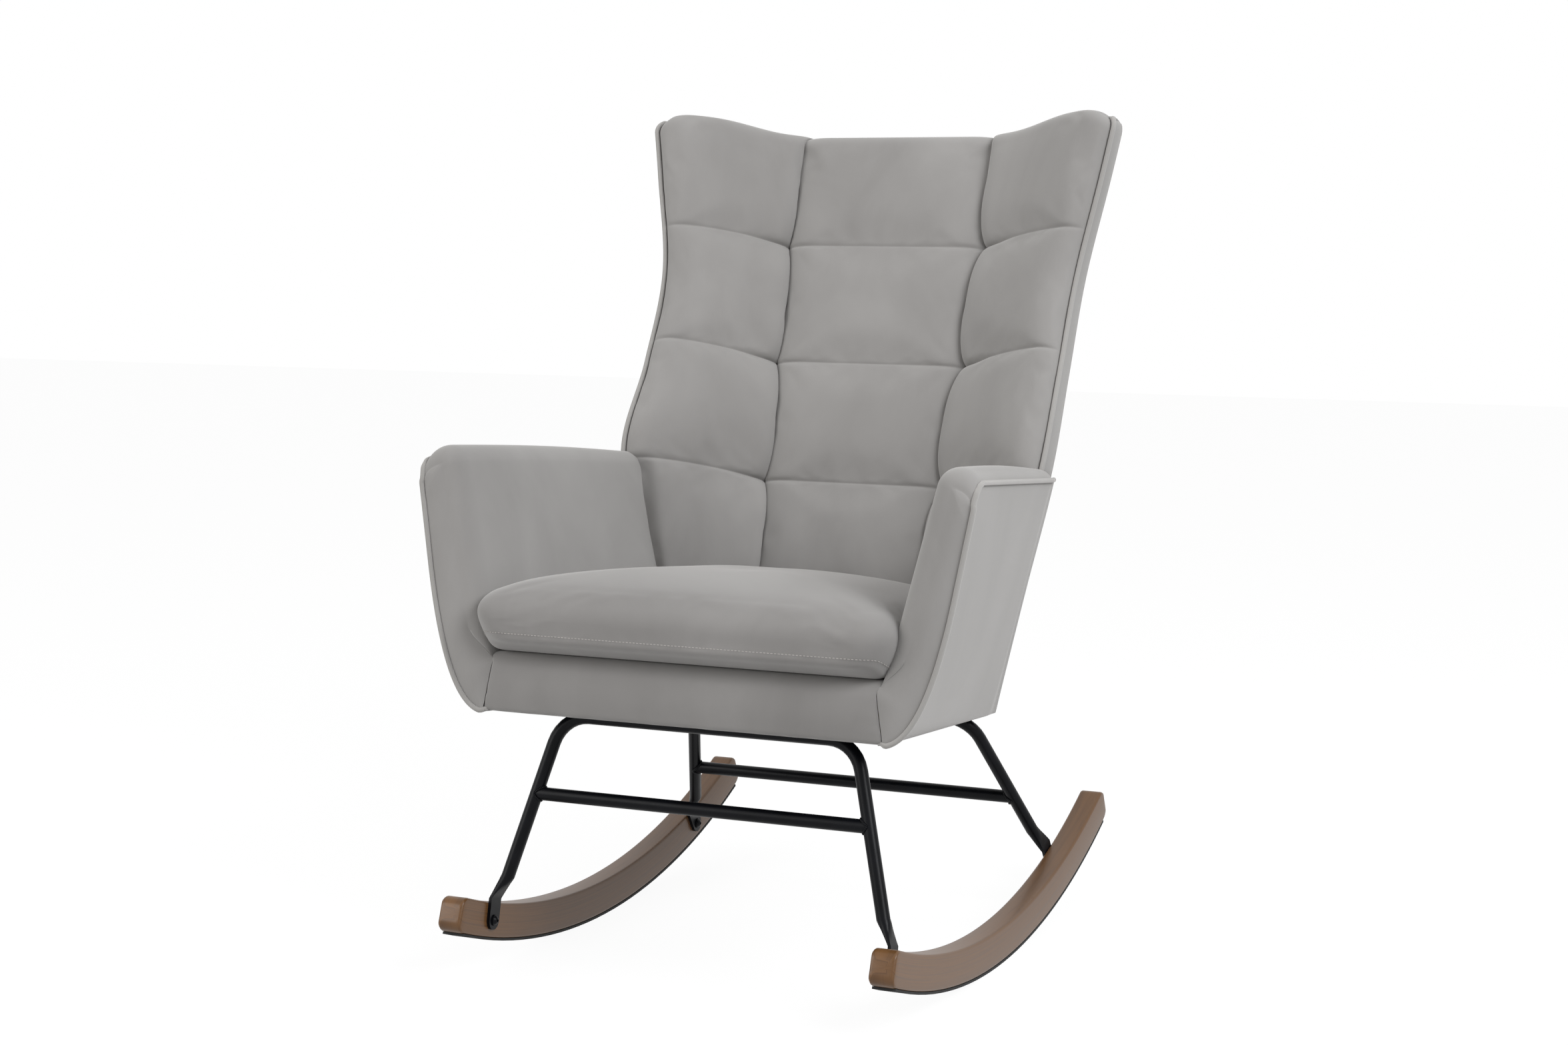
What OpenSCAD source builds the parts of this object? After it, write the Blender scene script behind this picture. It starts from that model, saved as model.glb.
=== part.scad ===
// Wingback rocking chair: an upholstered shell with a loose seat cushion, carried by two
// bent-tube leg frames on two arc rockers. Lengths are in millimetres, angles in degrees.
// Each sub-part is drawn with the seat level: x = 0 is the middle of the chair, y = 0 is above
// the rockers' lowest point, -y is the front and z = 0 is the floor. at_rest() then leans the
// whole chair back on its rockers, as it stands when nobody sits in it.

/* [Rockers] */
// Radius of the rocker's underside
rocker_radius = 1001; // [900:1:1150]
// Depth of the rocker from its top to its underside
rocker_depth = 42; // [36:1:50]
// Thickness of the rocker
rocker_width = 30; // [24:1:40]
// Distance between the inner faces of the two rockers
rocker_gap = 515; // [500:1:540]
// Angle from the lowest point to the front end
rocker_front_angle = 15; // [14:0.5:18]
// Angle from the lowest point to the rear end
rocker_rear_angle = 31; // [27:0.5:33]
// Radius on the corners of the rocker's ends
rocker_end_r = 13; // [6:1:16]
// Thickness of the anti-slip strip
strip_t = 3; // [2:0.5:5]
// Width of the anti-slip strip
strip_w = 28; // [20:1:28]
// Length of rocker left bare beyond each end of the strip
strip_margin = 15; // [8:1:40]
// Angle that the chair leans back at rest
lean = 6; // [3:0.5:9]

/* [Leg frames] */
// Outer diameter of the tube
tube_d = 16; // [14:1:18]
// Wall of the tube
tube_wall = 1.5; // [1:0.1:2]
// Bend radius of the tube at its centre line
bend_r = 45; // [32:1:60]
// Half the length of the front run, to where its line meets the leg's
front_run_half = 189; // [175:1:205]
// Half the length of the rear run, to where its line meets the leg's
rear_run_half = 192; // [175:1:205]
// Distance of the front run ahead of the rockers' lowest point
front_run_y = 149; // [140:1:160]
// Distance of the rear run behind the rockers' lowest point
rear_run_y = 214; // [195:1:220]
// Angle from the lowest point to the front foot's bolt
front_foot_angle = 10.7; // [9:0.1:12]
// Angle from the lowest point to the rear foot's bolt
rear_foot_angle = 22.3; // [20:0.1:25]
// Height of the front stretcher with the seat level
front_stretcher_z = 195; // [150:1:215]
// Height of the rear stretcher with the seat level
rear_stretcher_z = 184; // [165:1:215]
// Thickness of the flattened foot
foot_t = 4; // [3:0.5:5]
// Width of the flattened foot
foot_w = 23; // [20:1:24]
// Length of the flattened foot above its bolt
foot_len = 26; // [20:1:32]
// Thread of the bolts that hold the feet
foot_bolt_d = 6; // [5:1:8]
// Thread of the bolts that hold the seat and the back
seat_bolt_d = 8; // [6:1:8]

/* [Seat] */
// Height of the seat frame's underside with the seat level
seat_bottom_z = 298; // [292:1:306]
// Height of the deck that the cushion lies on
deck_z = 366; // [360:1:374]
// Distance of the seat's front face ahead of the rockers' lowest point
seat_front_y = 231; // [220:1:245]
// Half the width of the front rail's cover along its top edge
seam_top_half = 240; // [232:1:243]
// Half the width of the front rail's cover along its bottom edge
seam_bottom_half = 252; // [246:1:258]
// Thickness of the wooden rails
rail_t = 22; // [18:1:26]
// Thickness of the front rail
front_rail_t = 30; // [24:1:34]
// Thickness of the padding on the front rail
rail_pad_t = 11.5; // [10:0.5:14]
// Thickness of the deck's padding
deck_t = 12; // [10:1:16]
// Thickness of the dust cover
dust_cover_t = 0.8; // [0.6:0.1:1.2]
// Thickness of the webbing
strap_t = 2.5; // [2:0.5:4]
// Width of the webbing
strap_w = 60; // [50:5:70]
// Number of straps under the deck
strap_count = 4; // [3:1:5]
// Thickness of the mounting battens
batten_t = 22; // [18:1:24]
// Distance of the mounting bolts in from the rear of the side rails
mount_inset = 45; // [25:1:60]

/* [Arms] */
// Height of the arms with the seat level
arm_top_z = 606; // [590:1:625]
// Half the distance between the arms at the deck, at the front
arm_gap_half = 246; // [244:1:256]
// Angle that the arm's inner face leans out
arm_inner_lean = 13.3; // [11:0.1:15]
// Angle that the arm's outer face leans out
arm_outer_lean = 9.9; // [8:0.1:11]
// Distance that the arms draw in from front to rear
arm_toe_in = 43; // [36:1:46]
// Radius of the arm's rolled top at the front
arm_roll_front_r = 27; // [24:1:29]
// Radius of the arm's rolled top at the rear
arm_roll_rear_r = 20; // [18:1:24]
// Half the width of the seat's underside at the rear
seat_rear_half = 221; // [214:1:226]
// Thickness of the arm's bent plywood side
arm_board_t = 12; // [9:1:15]
// Thickness of the outer panels and the outer back
panel_t = 3; // [2:0.5:5]
// Diameter of the piping
piping_d = 6; // [4:0.5:7]

/* [Back] */
// Angle that the back leans from square to the seat
back_rake = 13.9; // [12:0.1:16]
// Distance of the back's seam plane behind the rockers' lowest point, at the deck
back_y = 226; // [220:1:232]
// Height of the middle of the back's top edge
back_top_z = 1034; // [1010:1:1060]
// Rise of the wing's tip above the middle of the top edge
wing_tip_rise = 26; // [15:1:40]
// Half the width of the middle panel at the arms
centre_low_half = 132; // [120:1:140]
// Half the width of the middle panel at the top
centre_top_half = 149; // [135:1:155]
// Half the width of the back above the arms
wing_low_half = 289; // [284:1:294]
// Half the width of the back at the wing's tip
wing_tip_half = 327; // [310:1:340]
// Distance that the wing stands forward at the arm
wing_flare_arm = 114; // [105:1:120]
// Distance that the wing stands forward at the waist
wing_flare_waist = 72; // [60:1:84]
// Distance that the wing stands forward at its tip
wing_flare_tip = 101; // [90:1:112]
// Thickness of the padding under the seams
pad_t = 10; // [8:1:14]
// Thickness of the plywood in the back
back_board_t = 9; // [6:1:11]
// Depth of the back from its seams to its rear face
back_depth = 44; // [42:1:56]
// Height that the quilted pillows stand above their seams
pillow_h = 24; // [14:1:28]
// Distance between the back's cross seams
seam_pitch = 157; // [145:1:165]
// Height of the seam that lies behind the cushion
first_seam_z = 415; // [405:1:425]
// Rise of the cross seams from the middle panel to the wing's edge
seam_rise = 24; // [10:1:34]

/* [Cushion] */
// Thickness of the seat cushion at its middle
cushion_t = 90; // [80:1:100]
// Thickness of the cushion at its edge
cushion_edge_t = 74; // [64:1:80]
// Distance that the cushion overhangs the front of the seat
cushion_overhang = 28; // [18:1:34]
// Gap between the cushion and the arms, the deck and the back
cushion_gap = 1; // [0.5:0.5:3]
// Radius round the cushion's edges
cushion_edge_r = 26; // [20:1:30]
// Thickness of the cushion's cover
cushion_cover_t = 2; // [1.5:0.5:3]

/* [Hidden] */
$fn = 48;

velvet = [0.66, 0.65, 0.64];
walnut = [0.42, 0.27, 0.19];
raw_wood = [0.80, 0.68, 0.50];
black_metal = [0.08, 0.08, 0.09];
zinc = [0.70, 0.71, 0.72];
foam = [0.92, 0.88, 0.74];

// ---------- levels and reaches ----------
eps = 0.01;
// How far a cutting shape runs past the surface that it cuts
cut = 1;
centre_z = rocker_radius + strip_t;
foot_radius = rocker_radius - rocker_depth / 2;
run_z = seat_bottom_z - dust_cover_t - tube_d / 2;
rail_top_z = deck_z - deck_t - strap_t;
side_rail_top_z = deck_z - deck_t;
cover_bottom_z = seat_bottom_z - 2;
rear_y = back_y - (deck_z - cover_bottom_z) * tan(back_rake) + back_depth;

// Distance of a point behind the rockers' centre once the chair leans back
function rest_y(y, z) = y * cos(lean) + (z - centre_z) * sin(lean);
front_reach = (rocker_radius - rocker_end_r) * sin(rocker_front_angle + lean
    - atan(rocker_end_r / rocker_radius)) + rocker_end_r;
rear_reach = max(rest_y(seam_y(back_top_z) + back_depth, back_top_z),
    (rocker_radius - rocker_end_r) * sin(rocker_rear_angle - lean) + rocker_end_r);
centre_y = (rear_reach - front_reach) / 2;

module at_rest()
    translate([0, -centre_y, centre_z]) rotate([-lean, 0, 0]) translate([0, 0, -centre_z]) children();

module mirrored(side) if (side > 0) children(); else mirror([1, 0, 0]) children();

module both_sides() for (side = [-1, 1]) mirrored(side) children();

// ---------- curves and surfaces ----------
function mix(a, b, t) = a + (b - a) * t;
function clamp(v, low, high) = min(max(v, low), high);
function steps(n) = [for (i = [0:n]) i / n];
function unit(v) = v / norm(v);
function flipped(row) = [for (p = row) [-p.x, p.y, p.z]];

// Smooth curve through the rows of a table of [place, value, value...]
function row_before(table, at, i = 0) =
    i >= len(table) - 2 || at < table[i + 1][0] ? i : row_before(table, at, i + 1);
function row_slope(table, i, k) =
    let (a = max(i - 1, 0), b = min(i + 1, len(table) - 1))
    (table[b][k] - table[a][k]) / (table[b][0] - table[a][0]);
function smooth(table, at, k) =
    let (i = row_before(table, at), h = table[i + 1][0] - table[i][0], u = (at - table[i][0]) / h)
    (2 * pow(u, 3) - 3 * pow(u, 2) + 1) * table[i][k]
    + (pow(u, 3) - 2 * pow(u, 2) + u) * h * row_slope(table, i, k)
    + (3 * pow(u, 2) - 2 * pow(u, 3)) * table[i + 1][k]
    + (pow(u, 3) - pow(u, 2)) * h * row_slope(table, i + 1, k);

function bezier(a, b, c, t) = mix(mix(a, b, t), mix(b, c, t), t);

// Closed solid between two grids of points of the same size
module slab(near, far) {
    rows = len(near);
    cols = len(near[0]);
    function at(side, j, i) = (side * rows + j) * cols + i;
    function quad(a, b, c, d) = [[a, c, b], [a, d, c]];
    near_faces = [for (j = [0:rows - 2], i = [0:cols - 2])
        each quad(at(0, j, i), at(0, j, i + 1), at(0, j + 1, i + 1), at(0, j + 1, i))];
    far_faces = [for (j = [0:rows - 2], i = [0:cols - 2])
        each quad(at(1, j, i), at(1, j + 1, i), at(1, j + 1, i + 1), at(1, j, i + 1))];
    end_faces = [for (i = [0:cols - 2]) each concat(
        quad(at(0, 0, i), at(1, 0, i), at(1, 0, i + 1), at(0, 0, i + 1)),
        quad(at(0, rows - 1, i), at(0, rows - 1, i + 1), at(1, rows - 1, i + 1), at(1, rows - 1, i)))];
    side_faces = [for (j = [0:rows - 2]) each concat(
        quad(at(0, j, 0), at(0, j + 1, 0), at(1, j + 1, 0), at(1, j, 0)),
        quad(at(0, j, cols - 1), at(1, j, cols - 1), at(1, j + 1, cols - 1), at(0, j + 1, cols - 1)))];
    polyhedron(
        points = concat([for (row = near) each row], [for (row = far) each row]),
        faces = concat(near_faces, far_faces, end_faces, side_faces), convexity = 6);
}

// A direction that no cord runs along
off_axis = [0.31, 0.43, 0.85];

// Round cord of the given diameter along a list of points
module swept_cord(path, d, sides = 8) {
    n = len(path);
    function along(i) = unit(path[min(i + 1, n - 1)] - path[max(i - 1, 0)]);
    function across(i) = unit(cross(along(i), off_axis));
    rings = [for (i = [0:n - 1]) let (u = across(i), v = cross(along(i), u))
        [for (k = [0:sides - 1]) path[i] + d / 2 * (cos(360 * k / sides) * u + sin(360 * k / sides) * v)]];
    tube_faces = [for (i = [0:n - 2], k = [0:sides - 1]) let (l = (k + 1) % sides)
        each [[i * sides + k, (i + 1) * sides + k, (i + 1) * sides + l], [i * sides + k, (i + 1) * sides + l, i * sides + l]]];
    polyhedron(points = [for (ring = rings) each ring],
        faces = concat(tube_faces, [[for (k = [0:sides - 1]) k],
            [for (k = [sides - 1:-1:0]) (n - 1) * sides + k]]), convexity = 6);
}

// Closed solid through rings of points of equal length, counterclockwise about the way they run
module stacked_rings(rings) {
    n = len(rings[0]);
    m = len(rings);
    wall_faces = [for (j = [0:m - 2], i = [0:n - 1]) let (k = (i + 1) % n)
        each [[j * n + i, (j + 1) * n + i, (j + 1) * n + k], [j * n + i, (j + 1) * n + k, j * n + k]]];
    polyhedron(points = [for (ring = rings) each ring],
        faces = concat(wall_faces, [[for (i = [0:n - 1]) i], [for (i = [n - 1:-1:0]) (m - 1) * n + i]]), convexity = 6);
}

// ---------- rockers ----------
function on_arc(r, angle) = [r * sin(angle), centre_z - r * cos(angle)];

module arc_band(r_out, r_in, front_angle, rear_angle) intersection() {
    difference() {
        circle(r_out, $fn = 360);
        circle(r_in, $fn = 360);
    }
    past = 1.1 * r_out;
    polygon(concat([[0, 0]], [for (t = steps(3)) let (a = mix(-front_angle, rear_angle, t)) past * [sin(a), -cos(a)]]));
}

// What a rounded corner takes off the band's end, for the outer or the inner edge
module corner_cut(angle, end, edge_r, inward) rotate(angle) difference() {
    translate([end > 0 ? -rocker_end_r : -cut, inward > 0 ? -edge_r - cut : -edge_r - rocker_end_r])
        square([rocker_end_r + cut, rocker_end_r + cut]);
    translate([-end * rocker_end_r, -edge_r + inward * rocker_end_r]) circle(rocker_end_r);
}

module rocker_outline() difference() {
    arc_band(rocker_radius, rocker_radius - rocker_depth, rocker_front_angle, rocker_rear_angle);
    for (end = [-1, 1], inward = [-1, 1])
        corner_cut(end > 0 ? rocker_rear_angle : -rocker_front_angle, end,
            inward > 0 ? rocker_radius : rocker_radius - rocker_depth, inward);
}

// Depth of the foot bolt's hole from the foot's inner face
foot_hole_len = 26;
// Length of bolt past its nut, and of hole past a bolt's end
bolt_end = 4;
insert_d = foot_bolt_d + 4;
insert_len = 16;
washer_t = 1.5;
head_t = 5;
// How much wider a hole is than its bolt
bolt_play = 1;
// Sizes of washers and heads as multiples of the thread
washer_ratio = 2.2;
button_ratio = 1.9;
button_rise = 0.6;
socket_ratio = 0.66;
socket_floor = 0.25;
hex_ratio = 1.8;
function foot_angles() = [-front_foot_angle, rear_foot_angle];

module along_x(x, yz) translate([x, yz[0], yz[1]]) rotate([0, 90, 0]) children();

module rocker() color(walnut) difference() {
    translate([rocker_gap / 2, 0, centre_z]) rotate([90, 0, 90])
        linear_extrude(rocker_width) rocker_outline();
    for (a = foot_angles())
        along_x(rocker_gap / 2 - cut, on_arc(foot_radius, a)) cylinder(d = insert_d, h = foot_hole_len - foot_t);
}

module rocker_strip() color(black_metal) {
    margin = strip_margin / rocker_radius * 180 / PI;
    translate([rocker_gap / 2 + (rocker_width - strip_w) / 2, 0, centre_z]) rotate([90, 0, 90])
        linear_extrude(strip_w)
            arc_band(rocker_radius + strip_t, rocker_radius, rocker_front_angle - margin, rocker_rear_angle - margin);
}

module foot_inserts() color(zinc) both_sides() for (a = foot_angles())
    along_x(rocker_gap / 2, on_arc(foot_radius, a)) difference() {
        cylinder(d = insert_d, h = insert_len);
        translate([0, 0, -cut]) cylinder(d = foot_bolt_d, h = insert_len + 2 * cut);
    }

module button_head(d, h) rotate_extrude() intersection() {
    translate([0, h - d * d / 8 / h - h / 2]) circle(d * d / 8 / h + h / 2);
    square([d / 2, h]);
}

module foot_bolts() color(black_metal) both_sides() for (a = foot_angles())
    along_x(rocker_gap / 2 - foot_t, on_arc(foot_radius, a)) {
        translate([0, 0, -washer_t]) cylinder(d = foot_bolt_d * washer_ratio, h = washer_t);
        translate([0, 0, -washer_t]) mirror([0, 0, 1]) difference() {
            button_head(foot_bolt_d * button_ratio, foot_bolt_d * button_rise);
            translate([0, 0, foot_bolt_d * socket_floor]) cylinder(d = foot_bolt_d * socket_ratio, h = foot_bolt_d, $fn = 6);
        }
        cylinder(d = foot_bolt_d, h = foot_hole_len - bolt_end);
    }

// ---------- leg frames ----------
function leg_foot(angle) = let (p = on_arc(foot_radius, angle)) [rocker_gap / 2 - foot_t / 2, p[0], p[1]];

module between(a, b) {
    v = b - a;
    translate(a) rotate([0, acos(v.z / norm(v)), atan2(v.y, v.x)]) children();
}

tube_sides = 16;
hole_sides = 24;
bend_steps = 7;
neck_steps = 6;
neck_len = 30;
// Places round the foot's end, in degrees from its tip
foot_end_angles = [14, 32, 54, 76];
// Hole in the top of the run that lets hot air out while the tube is powder coated
vent_d = 5;
// Gap that the weld fills between a stretcher's end and the leg
weld_gap = 0.1;

// Section of the tube at a centre, with w and v across it: round at flat = 0, pressed to a plate at flat = 1
function section(centre, w, v, r, flat = 0, half_w = 0) = [for (k = [0:tube_sides - 1])
    let (a = 360 * k / tube_sides, c = [cos(a), sin(a)],
        plate = [half_w * clamp(1.5 * c[0], -1, 1), foot_t / 2 * clamp(1.5 * c[1], -1, 1)],
        q = mix(r * c, plate, flat))
    centre + q[0] * w + q[1] * v];

// Rings of the round tube from the neck up the leg, round its bend and into the run
function tube_rings(corner, foot, r) = let (
        up = unit(corner - foot), w = unit(cross([1, 0, 0], -up)), turn = acos(-up.x),
        reach = bend_r * tan(turn / 2), n = unit([-1, 0, 0] + up.x * up), start = corner - reach * up)
    concat([section(foot + (foot_len + neck_len) * up, w, cross(up, w), r)],
        [for (t = steps(bend_steps)) let (a = turn * t)
            section(start + bend_r * ((1 - cos(a)) * n + sin(a) * up), w, cross(cos(a) * up + sin(a) * n, w), r)]);

// Rings of the flattened foot, from its rounded tip up to the neck that widens into the tube
function foot_rings(corner, foot) = let (
        up = unit(corner - foot), w = unit(cross([1, 0, 0], -up)), rise = unit([0, up.y, up.z]), v = cross(rise, w),
        plate_top = foot + foot_len * rise, neck_top = foot + (foot_len + neck_len) * up)
    concat(
        [for (a = foot_end_angles) section(foot - foot_w / 2 * cos(a) * rise, w, v, 0, 1, foot_w / 2 * sin(a))],
        [section(foot, w, v, 0, 1, foot_w / 2)],
        [for (i = [0:neck_steps - 1]) let (t = i / neck_steps, ease = t * t * (3 - 2 * t))
            section(mix(plate_top, neck_top, t), w, unit(mix(v, cross(up, w), t)), tube_d / 2, 1 - ease, foot_w / 2)]);

// Both halves of a frame from the rings of its left half
module frame_skin(half) stacked_rings(concat(half, [for (i = [len(half) - 1:-1:0]) flipped(half[i])]));

// The leg's straight part as a bar, to shape what is welded against it
module leg_bar(corner, foot) between(corner, foot) cylinder(d = tube_d + 2 * weld_gap, h = norm(foot - corner) - foot_len);

module leg_frame(half, run_y, angle) {
    corner = [half, run_y, run_z];
    foot = leg_foot(angle);
    color(black_metal) difference() {
        frame_skin(concat(foot_rings(corner, foot), tube_rings(corner, foot, tube_d / 2)));
        frame_skin(tube_rings(corner, foot, tube_d / 2 - tube_wall));
        along_x(-rocker_gap / 2, [foot.y, foot.z]) cylinder(d = foot_bolt_d + bolt_play, h = rocker_gap, $fn = hole_sides);
        translate([0, run_y, run_z]) cylinder(d = vent_d, h = tube_d, $fn = hole_sides);
    }
}

module stretcher(half, run_y, angle, z) {
    corner = [half, run_y, run_z];
    foot = leg_foot(angle);
    t = (run_z - z) / (run_z - foot.z);
    p = mix(corner, foot, t);
    color(black_metal) difference() {
        along_x(-p.x, [p.y, p.z]) cylinder(d = tube_d, h = 2 * p.x);
        along_x(-p.x - cut, [p.y, p.z]) cylinder(d = tube_d - 2 * tube_wall, h = 2 * (p.x + cut));
        both_sides() leg_bar(corner, foot);
    }
}

// ---------- fixing of the seat to the legs ----------
plate_t = 3;
plate_size = [50, 38];
plate_bolt_inset = 24;
tnut_t = 1.5;
tnut_d = 20;
barrel_d = seat_bolt_d + 2;
barrel_len = 8;
plate_top_z = seat_bottom_z - dust_cover_t;
// Each mounting bolt's place, and which way its plate lies from the run
function mounts() = [[-front_run_y + plate_bolt_inset, -front_run_y, 1], [rear_run_y - plate_bolt_inset, rear_run_y, -1]];

module at_mounts() for (m = mounts(), side = [-1, 1])
    translate([side * mount_half, m[0], plate_top_z]) children();

module mounting_plates() color(black_metal) for (m = mounts(), side = [-1, 1]) difference() {
    translate([side * mount_half - plate_size.x / 2, m[2] > 0 ? m[1] : m[1] - plate_size.y, plate_top_z - plate_t])
        cube([plate_size.x, plate_size.y, plate_t]);
    along_x(-rocker_gap / 2, [m[1], run_z]) cylinder(d = tube_d, h = rocker_gap);
    translate([side * mount_half, m[0], plate_top_z - plate_t - cut]) cylinder(d = seat_bolt_d + bolt_play, h = plate_t + 2 * cut);
}

module mounting_bolts() color(zinc) at_mounts() {
    translate([0, 0, -plate_t - washer_t]) cylinder(d = seat_bolt_d * washer_ratio, h = washer_t);
    translate([0, 0, -plate_t - washer_t - head_t]) cylinder(d = seat_bolt_d * hex_ratio, h = head_t, $fn = 6);
    translate([0, 0, -plate_t - washer_t])
        cylinder(d = seat_bolt_d, h = plate_t + washer_t + dust_cover_t + batten_t + bolt_end);
}

module tnut() difference() {
    union() {
        cylinder(d = tnut_d, h = tnut_t);
        translate([0, 0, -barrel_len]) cylinder(d = barrel_d, h = barrel_len + tnut_t);
    }
    translate([0, 0, -barrel_len - cut]) cylinder(d = seat_bolt_d, h = barrel_len + tnut_t + 2 * cut);
}

module mounting_tnuts() color(zinc) at_mounts() translate([0, 0, dust_cover_t + batten_t]) tnut();

// ---------- seat frame ----------
side_rail_w = 36;
rear_rail_front = pad_t - rail_t;
rail_rear_inset = 20;
// Half widths of the side rail's inner face at the front and at the rear of the seat
rail_inner_front = seam_top_half - side_rail_w;
rail_inner_rear = seat_rear_half - side_rail_w - rail_rear_inset;
mount_half = rail_inner_rear - mount_inset;
front_rail_y = -seat_front_y + rail_pad_t;
front_rail_rear = front_rail_y + front_rail_t;
function toe_share(y) = (y + seat_front_y) / (rear_y + seat_front_y);
function rail_inner_x(y) = mix(rail_inner_front, rail_inner_rear, toe_share(y));
// Distance that the seat's side draws in at a place along its depth
side_draw_in = seam_bottom_half - seat_rear_half + arm_board_t + panel_t;
function side_shift(y) = side_draw_in * toe_share(y);
function seam_half(z) = mix(seam_bottom_half, seam_top_half, (z - seat_bottom_z) / (deck_z - seat_bottom_z));

// Depth of the back's seam plane at a height
function seam_y(z) = back_y + (z - deck_z) * tan(back_rake);

// Block as wide as the front rail's cover, between its slanting ends
module front_taper(y, depth, low_z, high_z)
    translate([0, y + depth, 0]) rotate([90, 0, 0]) linear_extrude(depth) polygon([
        [-seam_half(low_z), low_z], [seam_half(low_z), low_z],
        [seam_half(high_z), high_z], [-seam_half(high_z), high_z]]);

// Outer face of the side rail at a place along the seat: in from the outer panel, then up the arm's board
function rail_outer(share) = let (gap = panel_t + arm_board_t + skirt_t + joint_gap,
        f = set_in(arm_outer_front, gap), r = set_in(arm_outer_rear, gap))
    concat([[seam_bottom_half - 2 * panel_t - side_draw_in * share, seat_bottom_z]],
        [for (i = [board_low:board_low + 2]) mix(f[i], r[i], share)]);

function rail_row(y, top) = [for (p = rail_outer(toe_share(y))) [p[0], y, min(p[1], top)]];

module seat_front_rail() color(raw_wood) {
    rows = [for (y = [front_rail_y, front_rail_rear]) rail_row(y, rail_top_z)];
    slab([for (row = rows) flipped(row)], rows);
}

rail_pad_edge_r = 10;
module front_rail_pad() color(velvet) {
    lip = front_rail_t + rail_pad_t;
    edge = rail_pad_edge_r;
    intersection() {
        front_taper(-seat_front_y, lip, cover_bottom_z, deck_z);
        rotate([90, 0, 90]) translate([0, 0, -rocker_gap / 2]) linear_extrude(rocker_gap) difference() {
            union() {
                translate([-seat_front_y, cover_bottom_z]) square([lip, deck_z - cover_bottom_z - edge]);
                translate([-seat_front_y + edge, cover_bottom_z]) square([lip - edge, deck_z - cover_bottom_z]);
                translate([-seat_front_y + edge, deck_z - edge]) circle(edge);
            }
            translate([front_rail_y, 0]) square([lip, rail_top_z + strap_t]);
        }
    }
}

module seat_rear_rail() color(raw_wood) {
    half = rail_inner_x(seam_y(seat_bottom_z)) + side_rail_w / 2;
    difference() {
        slab([for (z = [seat_bottom_z, rail_top_z]) [for (x = [-half, half]) [x, seam_y(z) + rear_rail_front, z]]],
            [for (z = [seat_bottom_z, rail_top_z]) [for (x = [-half, half]) [x, seam_y(z) + pad_t, z]]]);
        at_back_bolts() translate([0, 0, -rail_t]) cylinder(d = seat_bolt_d, h = 2 * rail_t + pad_t);
    }
}

module seat_side_rail() color(raw_wood) {
    rows = [for (y = [front_rail_rear, seam_y(seat_bottom_z) + rear_rail_front]) rail_row(y, side_rail_top_z)];
    slab([for (row = rows) [for (p = row) [rail_inner_x(p.y), p.y, p.z]]], rows);
}

corner_leg = 42;
corner_block_h = 16;
module corner_blocks() color(raw_wood) {
    leg = corner_leg;
    front = front_rail_rear;
    rear = seam_y(seat_bottom_z) + rear_rail_front;
    both_sides() translate([0, 0, seat_bottom_z + batten_t]) linear_extrude(corner_block_h) {
        polygon([[rail_inner_x(front), front], [rail_inner_x(front) - leg, front], [rail_inner_x(front + leg), front + leg]]);
        polygon([[rail_inner_x(rear), rear], [rail_inner_x(rear) - leg, rear], [rail_inner_x(rear - leg), rear - leg]]);
    }
}

batten_w = 48;

module mounting_battens() color(raw_wood) difference() {
    for (m = mounts()) let (low = m[0] - batten_w / 2, high = min(m[0] + batten_w / 2, seam_y(seat_bottom_z) + rear_rail_front))
        translate([0, 0, seat_bottom_z]) linear_extrude(batten_t) polygon([
            [-rail_inner_x(low), low], [rail_inner_x(low), low], [rail_inner_x(high), high], [-rail_inner_x(high), high]]);
    at_mounts() translate([0, 0, -cut]) cylinder(d = barrel_d, h = batten_t + dust_cover_t + 2 * cut);
}

// ---------- webbing and deck ----------
// Distance between the middles of the outermost straps
strap_spread = 1.4 * rail_inner_rear;
// Length of rail or board left bare beyond a strap's end
strap_end = 4;
function strap_xs() = [for (i = [0:strap_count - 1]) (i / (strap_count - 1) - 0.5) * strap_spread];

module seat_webbing() color(black_metal) {
    front = front_rail_y + strap_end;
    rear = seam_y(rail_top_z) + pad_t - strap_end;
    for (x = strap_xs()) translate([x - strap_w / 2, front, rail_top_z]) cube([strap_w, rear - front, strap_t]);
}

function inner_x(y, z) = arm_gap_half - arm_toe_in * toe_share(y) + (z - deck_z) * tan(arm_inner_lean);

deck_side_gap = 7;
deck_rear_gap = 1;
module seat_deck() color(velvet) {
    front = front_rail_rear;
    rear = seam_y(side_rail_top_z) - deck_rear_gap;
    translate([0, 0, side_rail_top_z]) linear_extrude(deck_t) polygon([for (p = [[-1, front], [1, front], [1, rear], [-1, rear]])
        [p[0] * (inner_x(p[1], deck_z) - deck_side_gap), p[1]]]);
}

dust_side_margin = 10;
dust_front_margin = 2;
module dust_cover() color(black_metal) {
    margin = dust_side_margin;
    front = front_rail_y + dust_front_margin;
    rear = seam_y(seat_bottom_z) + back_depth - 2 * panel_t;
    right = [[seam_bottom_half - side_shift(front) - margin, front],
        [seam_bottom_half - side_shift(rear) - margin, rear - edge_round], [valley_x(seat_bottom_z), rear]];
    difference() {
        translate([0, 0, plate_top_z]) linear_extrude(dust_cover_t)
            polygon(concat(right, [for (i = [2:-1:0]) [-right[i][0], right[i][1]]]));
        at_mounts() translate([0, 0, -cut]) cylinder(d = seat_bolt_d + bolt_play, h = dust_cover_t + 2 * cut);
    }
}

// ---------- arms ----------
arm_steps = 21;
curve_steps = 9;
inner_steps = 6;
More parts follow.
